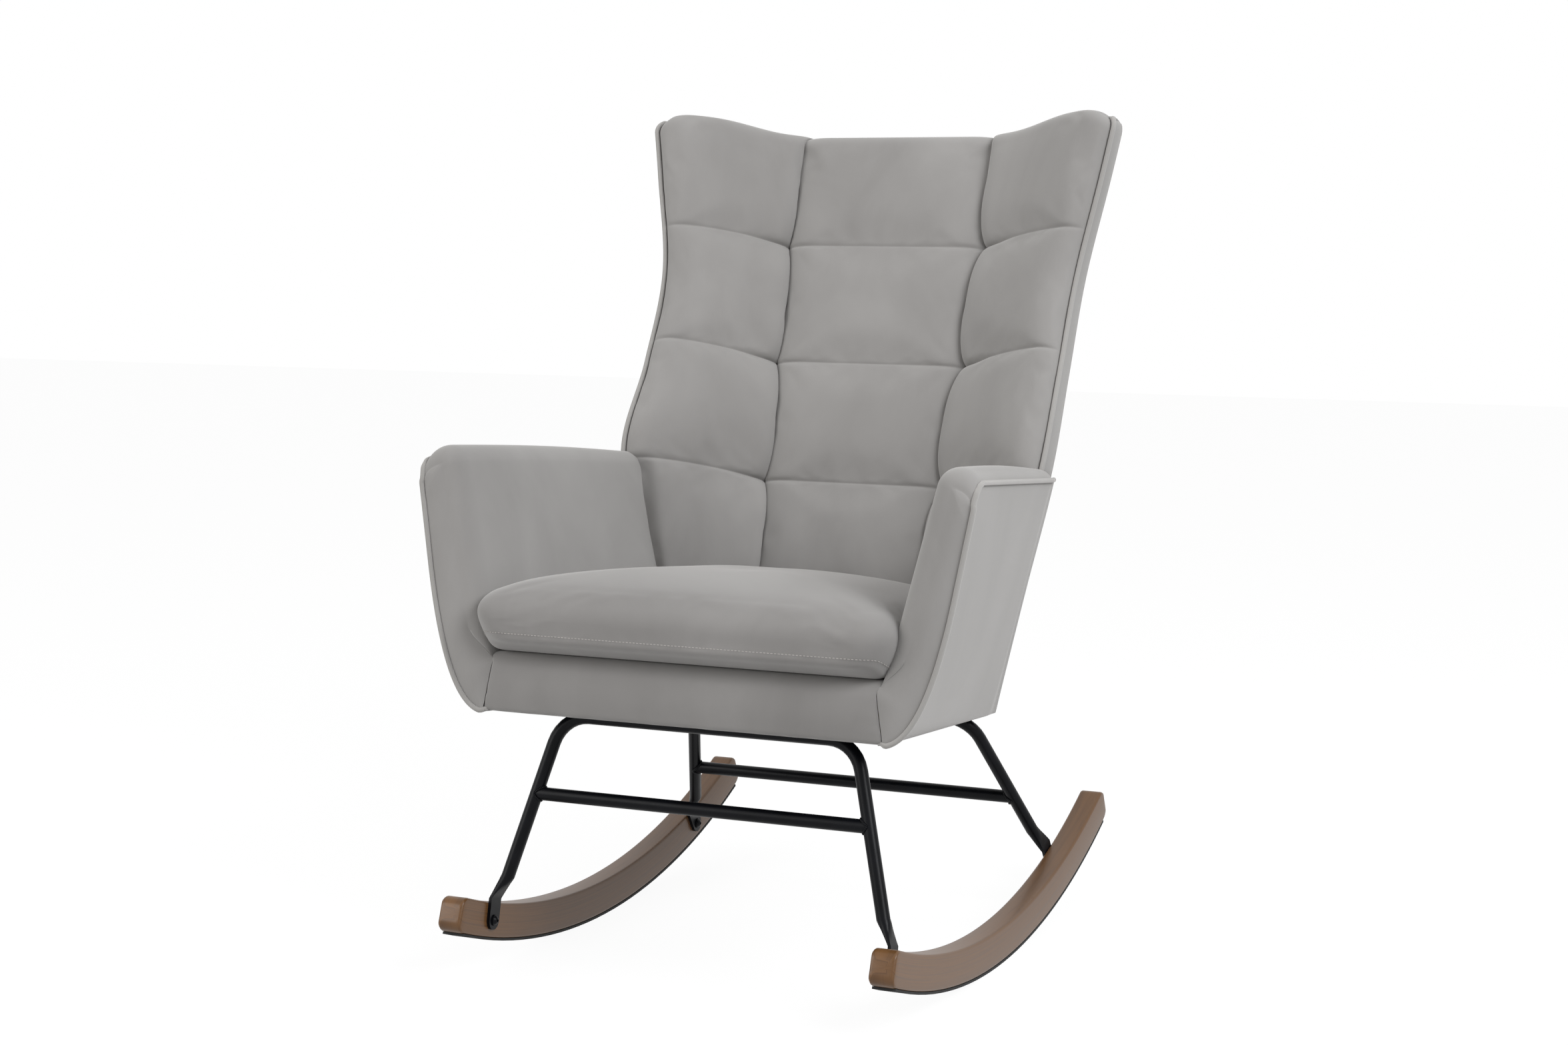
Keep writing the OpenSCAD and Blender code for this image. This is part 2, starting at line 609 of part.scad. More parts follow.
// Columns of the outer line that lie opposite the front seam
seam_columns = 5;
roll_steps = arm_steps - inner_steps - seam_columns;
arm_curve_z = 470;
arm_knee_z = 325;
arm_foot_half = seam_bottom_half + 2;
arm_edge_r = 14;
arm_edge_depth = 24;
arm_edge_z = 0.9 * arm_top_z;
roll_from = 180 - arm_inner_lean;
roll_to = 18;
roll_inner_gap = 6;
// How far ahead of the back's rear face the outer panel ends, at its bottom and at its top
panel_rear_low = 6;
panel_rear_high = 56;
function roll_centre(gap_half, r) =
    let (touch_z = arm_top_z - r + r * sin(arm_inner_lean))
    [gap_half + (touch_z - deck_z) * tan(arm_inner_lean) + r * cos(arm_inner_lean), arm_top_z - r];
front_roll = roll_centre(arm_gap_half, arm_roll_front_r);
rear_roll = roll_centre(arm_gap_half - arm_toe_in, arm_roll_rear_r);
function on_roll(centre, r, a) = centre + r * [cos(a), sin(a)];
front_piping = on_roll(front_roll, arm_roll_front_r, roll_to);
rear_piping = on_roll(rear_roll, arm_roll_rear_r, roll_to);
function outer_line(z) = [front_piping[0] - (front_piping[1] - z) * tan(arm_outer_lean), z];

// Outer outline of the arm at its front, from the underside up to the piping
arm_outer_front = concat(
    [for (t = steps(curve_steps)) bezier([arm_foot_half, cover_bottom_z], outer_line(arm_knee_z), outer_line(arm_curve_z), t)],
    [for (i = [1:arm_steps - curve_steps]) outer_line(mix(arm_curve_z, front_piping[1], i / (arm_steps - curve_steps)))]);
// The same outline where the arm ends against the back
arm_outer_rear = [for (p = arm_outer_front)
    let (t = (p[1] - cover_bottom_z) / (front_piping[1] - cover_bottom_z))
    [mix(seat_rear_half, rear_piping[0], t), mix(cover_bottom_z, rear_piping[1], t)]];
// Inner outline over the deck: the leaning face and round the rolled top
function arm_inner(gap_half, roll, r) = concat(
    [for (t = steps(inner_steps)) let (z = mix(deck_z, roll[1] + r * sin(arm_inner_lean), t))
        [gap_half + (z - deck_z) * tan(arm_inner_lean), z]],
    [for (i = [1:roll_steps]) on_roll(roll, r, mix(roll_from, roll_to + roll_inner_gap, i / roll_steps))]);
arm_inner_front = arm_inner(arm_gap_half, front_roll, arm_roll_front_r);
arm_inner_rear = arm_inner(arm_gap_half - arm_toe_in, rear_roll, arm_roll_rear_r);
// The seam between the arm's front and the front rail's cover
function seam_line(draw_in) = [for (t = steps(2)) let (z = mix(cover_bottom_z, deck_z, t))
    [seam_half(z) + 3 * joint_gap - draw_in, z]];

function normal_at(line, i) = let (v = unit(line[min(i + 1, len(line) - 1)] - line[max(i - 1, 0)])) [v[1], -v[0]];
function set_in(line, d) = [for (i = [0:len(line) - 1]) line[i] - d * normal_at(line, i)];
function arm_rear_y(z) = rear_y - mix(panel_rear_low, panel_rear_high, (z - cover_bottom_z) / (arm_top_z - cover_bottom_z));
// How far the rolled top drops towards the front edge
function edge_drop(y) = let (u = clamp((y + seat_front_y) / arm_edge_depth, 0, 1))
    arm_edge_r * (1 - sqrt(1 - pow(1 - u, 2)));
// Point on a line of the arm at a share of the seat's depth
function arm_point(front, rear, share) =
    let (z = mix(front[1], rear[1], share), y = mix(-seat_front_y, rear_y, share),
        top = clamp((z - arm_edge_z) / (arm_top_z - arm_edge_z), 0, 1))
    [mix(front[0], rear[0], share), y, z - edge_drop(y) * top];

// Depth that the arm keeps clear of the quilted wing at a place, and of the wing's edge beyond it
arm_back_gap = 3;
function wing_share(x, z, d) = let (low = valley(z, d)[0]) clamp((x - low) / (edge_x(z) - panel_t - low), 0, 1);
function wing_bulge(z, share) = z < deck_z ? 0 : wing_pillow(share, z - seam_lift(share) * rise_share(z));
function wing_front_y(x, z) = let (edge = edge_x(z) - panel_t, slope = tan(wing_angle(z)),
        first = wing_bulge(z, wing_share(x, z, 0)), d = wing_bulge(z, wing_share(x, z, first)))
    seam_y(z) - (min(x, edge) - valley_x(z)) * slope + d / cos(wing_angle(z));
// Share of the seat's depth at which a line of the arm meets the back
function arm_reach(front, rear, share = 0.85, n = 5) = n == 0 ? share : let (p = arm_point(front, rear, share))
    arm_reach(front, rear, toe_share(wing_front_y(p.x, mix(front[1], rear[1], share)) - arm_back_gap), n - 1);
panel_end_share = 0.9;
function arm_end(front, rear) = toe_share(arm_rear_y(mix(front[1], rear[1], panel_end_share)));

function arm_grid(front, rear, shares) = [for (t = shares) [for (i = [0:len(front) - 1])
    arm_point(front[i], rear[i], t * arm_reach(front[i], rear[i]))]];
// Places along the arm, close together round its front edge, and where its board starts
arm_front_shares = [0, 0.012, 0.022];
board_start = 0.024;
arm_run_shares = [0.055, 0.3, 0.65, 1];
arm_shares = concat(arm_front_shares, [board_start], arm_run_shares);
board_shares = concat([board_start + 0.001], arm_run_shares);
board_low = 2;
board_top = arm_steps - 2;
skirt_t = 2.5;
joint_gap = 0.3;
function part_of(line, indices) = [for (i = indices) line[i]];
function panel_line(outer) = set_in(outer, panel_t);
function board_line(outer) = set_in(outer, panel_t + arm_board_t);
function board_columns(line) = part_of(line, [board_low:board_top]);
// Inner side of the cloth that runs down between the board and the side rail
function skirt_line(outer) = part_of(set_in(outer, panel_t + arm_board_t + skirt_t), [board_low:board_low + 2]);
// The front cap covers the whole section; behind it the padding lies over the board
function cap_far(outer) = let (line = set_in(outer, panel_t + joint_gap))
    concat(part_of(line, [0:2:seam_columns - 1]), part_of(line, [seam_columns:arm_steps]));
function pad_far(outer) = concat(board_columns(set_in(outer, panel_t + arm_board_t + joint_gap)),
    part_of(set_in(outer, panel_t + joint_gap), [board_top, arm_steps]));

module arm_board() color(raw_wood) slab(
    arm_grid(board_columns(board_line(arm_outer_front)), board_columns(board_line(arm_outer_rear)), board_shares),
    arm_grid(board_columns(panel_line(arm_outer_front)), board_columns(panel_line(arm_outer_rear)), board_shares));

module arm_pad() color(velvet) {
    behind_cap = concat([board_start], arm_run_shares);
    slab(concat(
            arm_grid(concat(seam_line(0), arm_inner_front), concat(seam_line(side_draw_in), arm_inner_rear), arm_front_shares),
            arm_grid(concat(skirt_line(arm_outer_front), arm_inner_front),
                concat(skirt_line(arm_outer_rear), arm_inner_rear), behind_cap)),
        concat(
            arm_grid(cap_far(arm_outer_front), cap_far(arm_outer_rear), arm_front_shares),
            arm_grid(pad_far(arm_outer_front), pad_far(arm_outer_rear), behind_cap)));
}

panel_tail_start = 0.02;
// Rows of the outer panel where it closes against the side of the back
function panel_tail(inset) = let (f = arm_outer_front, r = arm_outer_rear) [for (t = [panel_tail_start, 1]) [for (i = [0:arm_steps])
    let (p = arm_point(f[i], r[i], mix(arm_reach(f[i], r[i]), arm_end(f[i], r[i]), t)))
    inset > 0 ? [edge_x(p.z) + arm_back_gap, p.y, p.z] : p]];

module arm_outer_panel() color(velvet) slab(
    concat(arm_grid(panel_line(arm_outer_front), panel_line(arm_outer_rear), arm_shares), panel_tail(panel_t)),
    concat(arm_grid(arm_outer_front, arm_outer_rear, arm_shares), panel_tail(0)));

piping_tuck = 0.4;
piping_shares = [0.008, 0.025, 0.055, 0.2, 0.4, 0.6, 0.8, 0.96];
// Piping up the arm's front edge and back along its top
module arm_piping() color(velvet) {
    out = piping_d / 2 + joint_gap;
    up = [for (i = [0:arm_steps]) let (n = normal_at(arm_outer_front, i))
        arm_point(arm_outer_front[i], arm_outer_rear[i], 0) + out * [n[0], -piping_tuck, n[1]]];
    back = [for (t = piping_shares)
        arm_point(front_piping, rear_piping, t * arm_reach(front_piping, rear_piping))
            + out * [cos(roll_to), 0, sin(roll_to)]];
    swept_cord(concat(up, back), piping_d, 6);
}

// ---------- back ----------
wing_low_z = 450;
waist_z = 850;
shoulder_z = 725;
wing_low_half_w = 256;
wing_base_flare = 10;
wing_low_flare = 75;
shoulder_flare_share = 0.62;
// Shares of the way from the waist to the tip at the wing's neck: its height, half width and flare
neck = [0.62, 0.6, 0.5];
wing_tip_z = back_top_z + wing_tip_rise;
// Edge of the wing: height, half width, distance forward of the seam plane
wing_edge = [
    [cover_bottom_z, seat_rear_half - panel_t - 1, wing_base_flare],
    [wing_low_z, wing_low_half_w, wing_low_flare],
    [arm_top_z, wing_low_half, wing_flare_arm],
    [shoulder_z, wing_low_half - 1, mix(wing_flare_arm, wing_flare_waist, shoulder_flare_share)],
    [waist_z, wing_low_half + 1, wing_flare_waist],
    [mix(waist_z, wing_tip_z, neck[0]), mix(wing_low_half, wing_tip_half, neck[1]),
        mix(wing_flare_waist, wing_flare_tip, neck[2])],
    [wing_tip_z + 10, wing_tip_half, wing_flare_tip]];
function edge_x(z) = smooth(wing_edge, z, 1);
function edge_flare(z) = smooth(wing_edge, z, 2);
function valley_x(z) = mix(centre_low_half, centre_top_half, (z - arm_top_z) / (back_top_z - arm_top_z));
function wing_angle(z) = atan(edge_flare(z) / (edge_x(z) - valley_x(z)));
// Corner between the middle and the wing at a depth behind the seam plane
function valley(z, d) = [valley_x(z) + d * tan(wing_angle(z) / 2), seam_y(z) + d];
// Point on the wing at a share of its width and a depth, up to the outer cover's side
function on_wing(z, share, d) = let (v = valley(z, d), w = edge_x(z) - panel_t - 3.5 * joint_gap - v[0])
    [v[0] + share * w, v[1] - share * w * tan(wing_angle(z)), z];
function on_centre(z, share, d) = [share * valley(z, d)[0], seam_y(z) + d, z];

// Height of the back's top edge across the wing, from shares of its width and of the tip's rise
top_shares = [[0, 0], [0.25, 0.25], [0.6, 0.85], [0.8, 1], [0.93, 0.75], [1, 0.3]];
top_line = [for (s = top_shares) [s[0], back_top_z + s[1] * wing_tip_rise]];
function top_z(share) = smooth(top_line, share, 1);

// Rise of a pillow between its seams, at shares 0 to 1 across and up
function crown(u, flat, round) = pow(1 - pow(abs(2 * u - 1), flat), round);
function row_seams() = [first_seam_z - seam_pitch, first_seam_z, first_seam_z + seam_pitch, first_seam_z + 2 * seam_pitch,
    first_seam_z + 3 * seam_pitch, back_top_z];
function row_share(z) = let (s = row_seams(), i = len([for (v = s) if (v <= z + eps) v]) - 1, k = clamp(i, 0, len(s) - 2))
    clamp((z - s[k]) / (s[k + 1] - s[k]), 0, 1);
crown_across = [3.2, 0.8];
crown_up = [3, 0.7];
function pillow(u, v) = -pillow_h * crown(u, crown_across[0], crown_across[1]) * crown(v, crown_up[0], crown_up[1]);
// The wing's lowest pillows are pressed flat where the arms stand against them, from a share of its width to another
pressed = [0.66, 0.8];
function wing_pillow(share, z) = pillow(share, row_share(z))
    * (z < row_seams()[2] ? 1 - clamp((share - pressed[0]) / (pressed[1] - pressed[0]), 0, 1) : 1);

pad_bottom_z = deck_z + 1;
row_rises = [0, 0.08, 0.25, 0.5, 0.75, 0.92];
// Heights of the padding's rows of points, close together at the seams
function pad_heights() = concat(
    [pad_bottom_z, mix(pad_bottom_z, first_seam_z, 0.5)],
    [for (k = [1:4], t = row_rises) mix(row_seams()[k], row_seams()[k + 1], t)],
    [back_top_z]);
pad_shares = [0, 0.05, 0.16, 0.34, 0.5, 0.66, 0.8, 0.93, 1];
function seam_lift(share) = seam_rise * sin(90 * share);

// Rows of points over a panel's front, stretched up to the top edge and bulged between the seams
function centre_front() = [for (z = pad_heights()) [for (u = pad_shares)
    on_centre(z, 2 * u - 1, pillow(u, row_share(z)))]];
// Share of the back's height over which the seams reach their full rise
full_rise = 0.25;
function rise_share(z) = clamp((z - deck_z) / (back_top_z - deck_z) / full_rise, 0, 1);
function wing_rise(z, share) = let (
    near_top = clamp((z - row_seams()[4]) / (back_top_z - row_seams()[4]), 0, 1))
    z + mix(seam_lift(share) * rise_share(z), top_z(share) - back_top_z, near_top);
function wing_front() = [for (z = pad_heights()) [for (u = pad_shares)
    on_wing(wing_rise(z, u), u, wing_pillow(u, z))]];

board_top_drop = 14;
edge_round = 14;
lip_corner = 0.84;
// Depth of the padding's lip over the board's top edge, clear of the cover's rounded corner
function lip_depth(share) = back_depth - panel_t - 2 * joint_gap
    - edge_round * clamp((share - lip_corner) / (1 - lip_corner), 0, 1);
// Rows for the padding's rear: flat on the board, then out to the cover over the board's top edge
function rear_rows() = let (n = len(pad_heights())) [for (j = [0:n - 1])
    j < n - 2 ? [mix(pad_bottom_z, back_top_z - board_top_drop, j / (n - 3)), 0]
        : [back_top_z - (j < n - 1 ? board_top_drop : 0), 1]];
function wing_rear() = [for (r = rear_rows()) [for (u = pad_shares)
    on_wing(wing_rise(r[0], u), u, mix(pad_t - 2 * joint_gap, lip_depth(u), r[1]))]];
function centre_rear() = [for (r = rear_rows()) [for (u = pad_shares)
    on_centre(r[0], 2 * u - 1, mix(pad_t - joint_gap, lip_depth(0), r[1]))]];

module back_pad() color(velvet) slab(centre_front(), centre_rear());

module wing_pad() color(velvet) slab(wing_front(), wing_rear());

board_heights = steps(10);
function board_z(t, share) = mix(seat_bottom_z, wing_rise(back_top_z - board_top_drop, share), t);
// Distance square to the back's face for a distance straight back
function square_to_back(depth) = depth * cos(back_rake);
// Frame of the back: x across, y square to its face, z up along it, from the deck's level
module along_back() translate([0, back_y, deck_z]) rotate([-back_rake, 0, 0]) children();

window_low = 70;
window_high = 600;
window_half = centre_low_half - 30;
module back_board() color(raw_wood) difference() {
    slab([for (t = board_heights) [for (u = [-1, 1]) on_centre(board_z(t, 0), u, pad_t)]],
        [for (t = board_heights) [for (u = [-1, 1]) on_centre(board_z(t, 0), u, pad_t + back_board_t)]]);
    along_back() translate([-window_half, 0, window_low]) cube([2 * window_half, back_depth, window_high - window_low]);
    at_back_bolts() translate([0, 0, pad_t - cut]) cylinder(d = barrel_d, h = back_board_t + 2 * cut);
}

back_strap_count = 4;
module back_webbing() color(black_metal) along_back() for (i = [1:back_strap_count])
    translate([-window_half, square_to_back(pad_t), mix(window_low, window_high, i / (back_strap_count + 1)) - strap_w / 2])
        cube([2 * window_half, strap_t, strap_w]);

wing_board_steps = 12;
wing_board_drop = board_top_drop + 1.5;
function wing_board_z(t, share) = wing_rise(mix(pad_bottom_z, back_top_z - wing_board_drop, t), share);
wing_board_shares = [0.004, 0.16, 0.5, 0.84, 0.995];
wing_slot_heights = [0.17, 0.33, 0.58, 0.83];
wing_slot_shares = [0.3, 0.5, 0.72];
module wing_slab(heights, shares, near_d, far_d) slab(
    [for (t = heights) [for (u = shares) on_wing(wing_board_z(t, u), u, near_d)]],
    [for (t = heights) [for (u = shares) on_wing(wing_board_z(t, u), u, far_d)]]);

module wing_board() color(raw_wood) difference() {
    wing_slab(steps(wing_board_steps), wing_board_shares, pad_t + 3 * joint_gap, pad_t + back_board_t);
    wing_slab(wing_slot_heights, wing_slot_shares, 0, back_depth);
}

// Outer cover: from the piping straight back round the wing's edge, then across the rear
// Share of the wing's width at each column of the cover, for the height of its top edge
cover_shares = [1, 1, 0.98, 0.94, 0.9, 0.5, 0.06, 0];
function cover_half(z, inset) = let (
        x = edge_x(z) - inset, d = back_depth - inset, v = valley(z, d), slope = tan(wing_angle(z)),
        front = seam_y(z) - edge_flare(z), rear = v[1] - (x - v[0]) * slope, r = edge_round - inset)
    concat([[x, front, z], [x, rear - r, z]],
        [for (a = [30, 60]) [x - r + r * cos(a), rear - r + r * sin(a) + r * (1 - cos(a)) * slope, z]],
        [[x - r, rear + r * slope, z], [mix(v[0], x - r, 0.5), mix(v[1], rear + r * slope, 0.5), z],
            [v[0] + edge_round, v[1] - edge_round * slope, z], [v[0], v[1], z]]);
// Row of the cover from one wing's piping round the rear to the other's, at a share of its height
function cover_row(t, inset) = let (n = len(cover_shares), half = [for (i = [0:n - 1])
        cover_half(mix(cover_bottom_z, top_z(cover_shares[i]), t), inset)[i]])
    concat([for (p = half) [-p.x, p.y, p.z]], [for (i = [n - 1:-1:0]) half[i]]);

module back_cover() color(velvet) slab([for (t = steps(13)) cover_row(t, panel_t)], [for (t = steps(13)) cover_row(t, 0)]);

wing_piping_low_z = arm_top_z + 3;
wing_piping_top_z = wing_tip_z - 18;
wing_piping_out = 0.3;
module wing_piping() color(velvet) {
    out = piping_d / 2 + joint_gap;
    path = [for (t = steps(16)) let (z = mix(wing_piping_low_z, wing_piping_top_z, t))
        [edge_x(z) + wing_piping_out * out, seam_y(z) - edge_flare(z) - out - joint_gap, z]];
    swept_cord(path, piping_d);
}

// Bolts through the rear rail into the back board, square to the leaning back
back_bolt_z = (seat_bottom_z + batten_t + rail_top_z) / 2;
back_bolt_xs = [-110, -40, 40, 110];
module at_back_bolts() for (x = back_bolt_xs)
    translate([x, seam_y(back_bolt_z), back_bolt_z]) rotate([-90 - back_rake, 0, 0]) children();

module back_bolts() color(zinc) at_back_bolts() {
    translate([0, 0, square_to_back(rear_rail_front) - head_t]) cylinder(d = seat_bolt_d * hex_ratio, h = head_t, $fn = 6);
    translate([0, 0, square_to_back(rear_rail_front)]) cylinder(d = seat_bolt_d, h = square_to_back(rail_t + back_board_t));
}

module back_tnuts() color(zinc) at_back_bolts() translate([0, 0, square_to_back(pad_t + back_board_t)]) tnut();

// ---------- cushion ----------
cushion_front_y = -seat_front_y - cushion_overhang;
cushion_rear_y = seam_y(deck_z + cushion_edge_t / 2) - pillow_h - 2 * cushion_gap;
cushion_bottom_z = deck_z + cushion_gap;
function cushion_half(y, z) = inner_x(clamp(y, -seat_front_y, rear_y), z) - cushion_gap;
corner_front_r = 34;
corner_rear_r = 114;
corner_least_r = 4;
corner_shrink = 0.5;
// Plan outline at a height, pulled in by an inset all round
function cushion_outline(z, inset) = let (
        yf = cushion_front_y + inset, yr = cushion_rear_y - inset,
        rf = max(corner_front_r - inset * corner_shrink, corner_least_r),
        rr = max(corner_rear_r - inset * corner_shrink, corner_least_r),
        quarter = [for (t = steps(6)) 90 * t],
        right = concat(
            [for (a = quarter) [cushion_half(yf, z) - inset - rf + rf * sin(a), yf + rf - rf * cos(a)]],
            [for (a = quarter) [cushion_half(yr - rr, z) - inset - rr + rr * cos(a), yr - rr + rr * sin(a)]]))
    concat([for (p = right) [p[0], p[1], z]], [for (i = [len(right) - 1:-1:0]) [-right[i][0], right[i][1], z]]);

// Insets over the crown in edge radii, each with its share of the crown's rise
crown_rings = [[1.9, 0.45], [4, 0.85], [7, 1]];
// Half section of the edge: insets and heights from the underside to the top
function cushion_levels(wall) = let (r = cushion_edge_r, h = cushion_edge_t)
    concat([for (a = [0, 30, 60, 90]) [r - r * sin(a) + wall, cushion_bottom_z + r - r * cos(a) + wall * cos(a)]],
        [for (a = [0, 30, 60, 80]) [r - r * cos(a) + wall, cushion_bottom_z + h - r + r * sin(a) - wall * sin(a)]],
        [for (ring = crown_rings) [r * ring[0] + wall, cushion_bottom_z + mix(h, cushion_t, ring[1]) - wall]]);

module cushion_body(wall) stacked_rings([for (l = cushion_levels(wall)) cushion_outline(l[1], l[0])]);

module cushion_cover() color(velvet) difference() {
    cushion_body(0);
    cushion_body(cushion_cover_t);
}

module cushion_foam() color(foam) cushion_body(cushion_cover_t);

// ---------- the chair ----------
at_rest() rocker();  // rocker_left
at_rest() mirrored(-1) rocker();  // rocker_right
at_rest() rocker_strip();  // rocker_strip_left
at_rest() mirrored(-1) rocker_strip();  // rocker_strip_right
at_rest() leg_frame(front_run_half, -front_run_y, -front_foot_angle);  // front_leg_frame
at_rest() leg_frame(rear_run_half, rear_run_y, rear_foot_angle);  // rear_leg_frame
at_rest() stretcher(front_run_half, -front_run_y, -front_foot_angle, front_stretcher_z);  // front_stretcher
at_rest() stretcher(rear_run_half, rear_run_y, rear_foot_angle, rear_stretcher_z);  // rear_stretcher
at_rest() foot_bolts();
at_rest() foot_inserts();
at_rest() mounting_plates();
at_rest() mounting_bolts();
at_rest() mounting_tnuts();
at_rest() seat_front_rail();
at_rest() seat_rear_rail();
at_rest() seat_side_rail();  // seat_side_rail_left
at_rest() mirrored(-1) seat_side_rail();  // seat_side_rail_right
at_rest() corner_blocks();
at_rest() mounting_battens();
at_rest() seat_webbing();
at_rest() seat_deck();
at_rest() dust_cover();
at_rest() front_rail_pad();
at_rest() arm_board();  // arm_board_left
at_rest() mirrored(-1) arm_board();  // arm_board_right
at_rest() arm_pad();  // arm_pad_left
at_rest() mirrored(-1) arm_pad();  // arm_pad_right
at_rest() arm_outer_panel();  // arm_outer_panel_left
at_rest() mirrored(-1) arm_outer_panel();  // arm_outer_panel_right
at_rest() arm_piping();  // arm_piping_left
at_rest() mirrored(-1) arm_piping();  // arm_piping_right
at_rest() back_board();
at_rest() wing_board();  // wing_board_left
at_rest() mirrored(-1) wing_board();  // wing_board_right
at_rest() back_webbing();
at_rest() back_pad();
at_rest() wing_pad();  // wing_pad_left
at_rest() mirrored(-1) wing_pad();  // wing_pad_right
at_rest() back_cover();
at_rest() wing_piping();  // wing_piping_left
at_rest() mirrored(-1) wing_piping();  // wing_piping_right
at_rest() back_bolts();
at_rest() back_tnuts();
at_rest() cushion_cover();
at_rest() cushion_foam();
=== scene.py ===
"""Wingback rocking chair: quilted velvet shell, loose seat cushion, bent steel tubes and hardwood rockers.

Shapes are worked out in millimetres with the seat level, then leaned back on the rockers and
turned into metres. x = 0 is the chair's middle, -y its front and z = 0 the floor.
"""
import math

import bmesh
import bpy
import numpy as np
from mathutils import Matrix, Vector


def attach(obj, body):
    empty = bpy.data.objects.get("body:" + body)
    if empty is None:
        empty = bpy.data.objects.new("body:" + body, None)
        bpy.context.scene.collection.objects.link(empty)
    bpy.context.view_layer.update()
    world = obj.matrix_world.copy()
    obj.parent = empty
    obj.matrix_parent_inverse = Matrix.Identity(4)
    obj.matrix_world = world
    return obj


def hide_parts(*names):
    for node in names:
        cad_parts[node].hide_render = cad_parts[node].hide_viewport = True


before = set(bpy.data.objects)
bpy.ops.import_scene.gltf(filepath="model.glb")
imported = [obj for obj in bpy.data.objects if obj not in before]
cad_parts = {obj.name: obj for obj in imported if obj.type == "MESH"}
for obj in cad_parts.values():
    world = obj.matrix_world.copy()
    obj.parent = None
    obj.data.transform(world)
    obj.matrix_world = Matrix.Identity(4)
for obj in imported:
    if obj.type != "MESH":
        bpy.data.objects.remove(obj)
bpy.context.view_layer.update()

MM = 0.001

# ---------- sizes of the frame that the upholstery is stretched over ----------
ROCKER_RADIUS, ROCKER_DEPTH, ROCKER_WIDTH, ROCKER_GAP = 1001, 42, 30, 515
ROCKER_FRONT, ROCKER_REAR, ROCKER_END_R, ROCKER_EASE = 15, 31, 13, 3.5
STRIP = 3
LEAN = math.radians(6)
CENTRE_Z = ROCKER_RADIUS + STRIP
TUBE_R = 8
SEAT_BOTTOM, DECK, SEAT_FRONT = 298, 366, 231
COVER_BOTTOM = SEAT_BOTTOM - 2
SEAM_TOP_HALF, SEAM_BOTTOM_HALF, SEAT_REAR_HALF = 240, 252, 221
ARM_TOP, ARM_GAP_HALF, ARM_TOE_IN = 606, 246, 43
ARM_INNER_LEAN, ARM_OUTER_LEAN = math.radians(13.3), math.radians(9.9)
ARM_ROLL_FRONT, ARM_ROLL_REAR, ROLL_TO = 27, 20, 18
PIPING_R = 3.1
BACK_RAKE, BACK_Y, BACK_TOP, TIP_RISE = math.radians(13.9), 226, 1034, 26
BACK_DEPTH, CENTRE_LOW_HALF, CENTRE_TOP_HALF = 44, 132, 149
WING_LOW_HALF, WING_TIP_HALF = 289, 327
FLARE_ARM, FLARE_WAIST, FLARE_TIP = 114, 72, 101
PILLOW_H, SEAM_PITCH, FIRST_SEAM, SEAM_RISE = 24, 157, 415, 24
CUSHION_T, CUSHION_EDGE_T, CUSHION_OVERHANG, CUSHION_GAP = 90, 74, 28, 1

RAKE = math.tan(BACK_RAKE)
REAR_Y = BACK_Y - (DECK - COVER_BOTTOM) * RAKE + BACK_DEPTH


# ---------- curves and placing ----------
def mix(a, b, t):
    return a + (b - a) * t


def ease(t):
    t = np.clip(t, 0, 1)
    return t * t * (3 - 2 * t)


def shoulder(distance, width):
    """Quarter ellipse from 0 at a seam to 1 at the given distance from it."""
    t = 1 - np.clip(np.asarray(distance, float) / width, 0, 1)
    return np.sqrt(np.maximum(0, 1 - t * t))


def hermite(table, at, column):
    """Smooth curve through a table's rows of place and values."""
    table = np.array(table, float)
    at = np.asarray(at, float)
    place, value = table[:, 0], table[:, column]
    last = len(place) - 1
    slope = np.array([(value[min(i + 1, last)] - value[max(i - 1, 0)])
                      / (place[min(i + 1, last)] - place[max(i - 1, 0)]) for i in range(last + 1)])
    i = np.clip(np.searchsorted(place, at, side="right") - 1, 0, last - 1)
    h = place[i + 1] - place[i]
    u = (at - place[i]) / h
    return ((2 * u**3 - 3 * u**2 + 1) * value[i] + (u**3 - 2 * u**2 + u) * h * slope[i]
            + (3 * u**2 - 2 * u**3) * value[i + 1] + (u**3 - u**2) * h * slope[i + 1])


def spread(n, gather=0.7):
    """n + 1 shares from 0 to 1, gathered towards both ends."""
    t = np.linspace(0, 1, n + 1)
    return mix(t, 0.5 - 0.5 * np.cos(np.pi * t), gather)


def fallen(radius, share):
    """How far a rounded edge has fallen away at a share of its rounding."""
    return radius * (1 - np.sqrt(np.maximum(0, 1 - share * share)))


def grid_of(x, y, z):
    return np.stack(np.broadcast_arrays(x, y, z), axis=-1)


def rest_y(y, z):
    """Depth of a level point once the chair leans back on its rockers."""
    return y * math.cos(LEAN) + (z - CENTRE_Z) * math.sin(LEAN)


def seam_y(z):
    """Depth of the raked back's seams at a height."""
    return BACK_Y + (z - DECK) * RAKE


def reach_of_rocker(angle):
    return (ROCKER_RADIUS - ROCKER_END_R) * math.sin(angle) + ROCKER_END_R


FRONT_REACH = reach_of_rocker(math.radians(ROCKER_FRONT) + LEAN - math.atan(ROCKER_END_R / ROCKER_RADIUS))
REAR_REACH = max(rest_y(seam_y(BACK_TOP) + BACK_DEPTH, BACK_TOP),
                 reach_of_rocker(math.radians(ROCKER_REAR) - LEAN))
CENTRE_Y = (REAR_REACH - FRONT_REACH) / 2


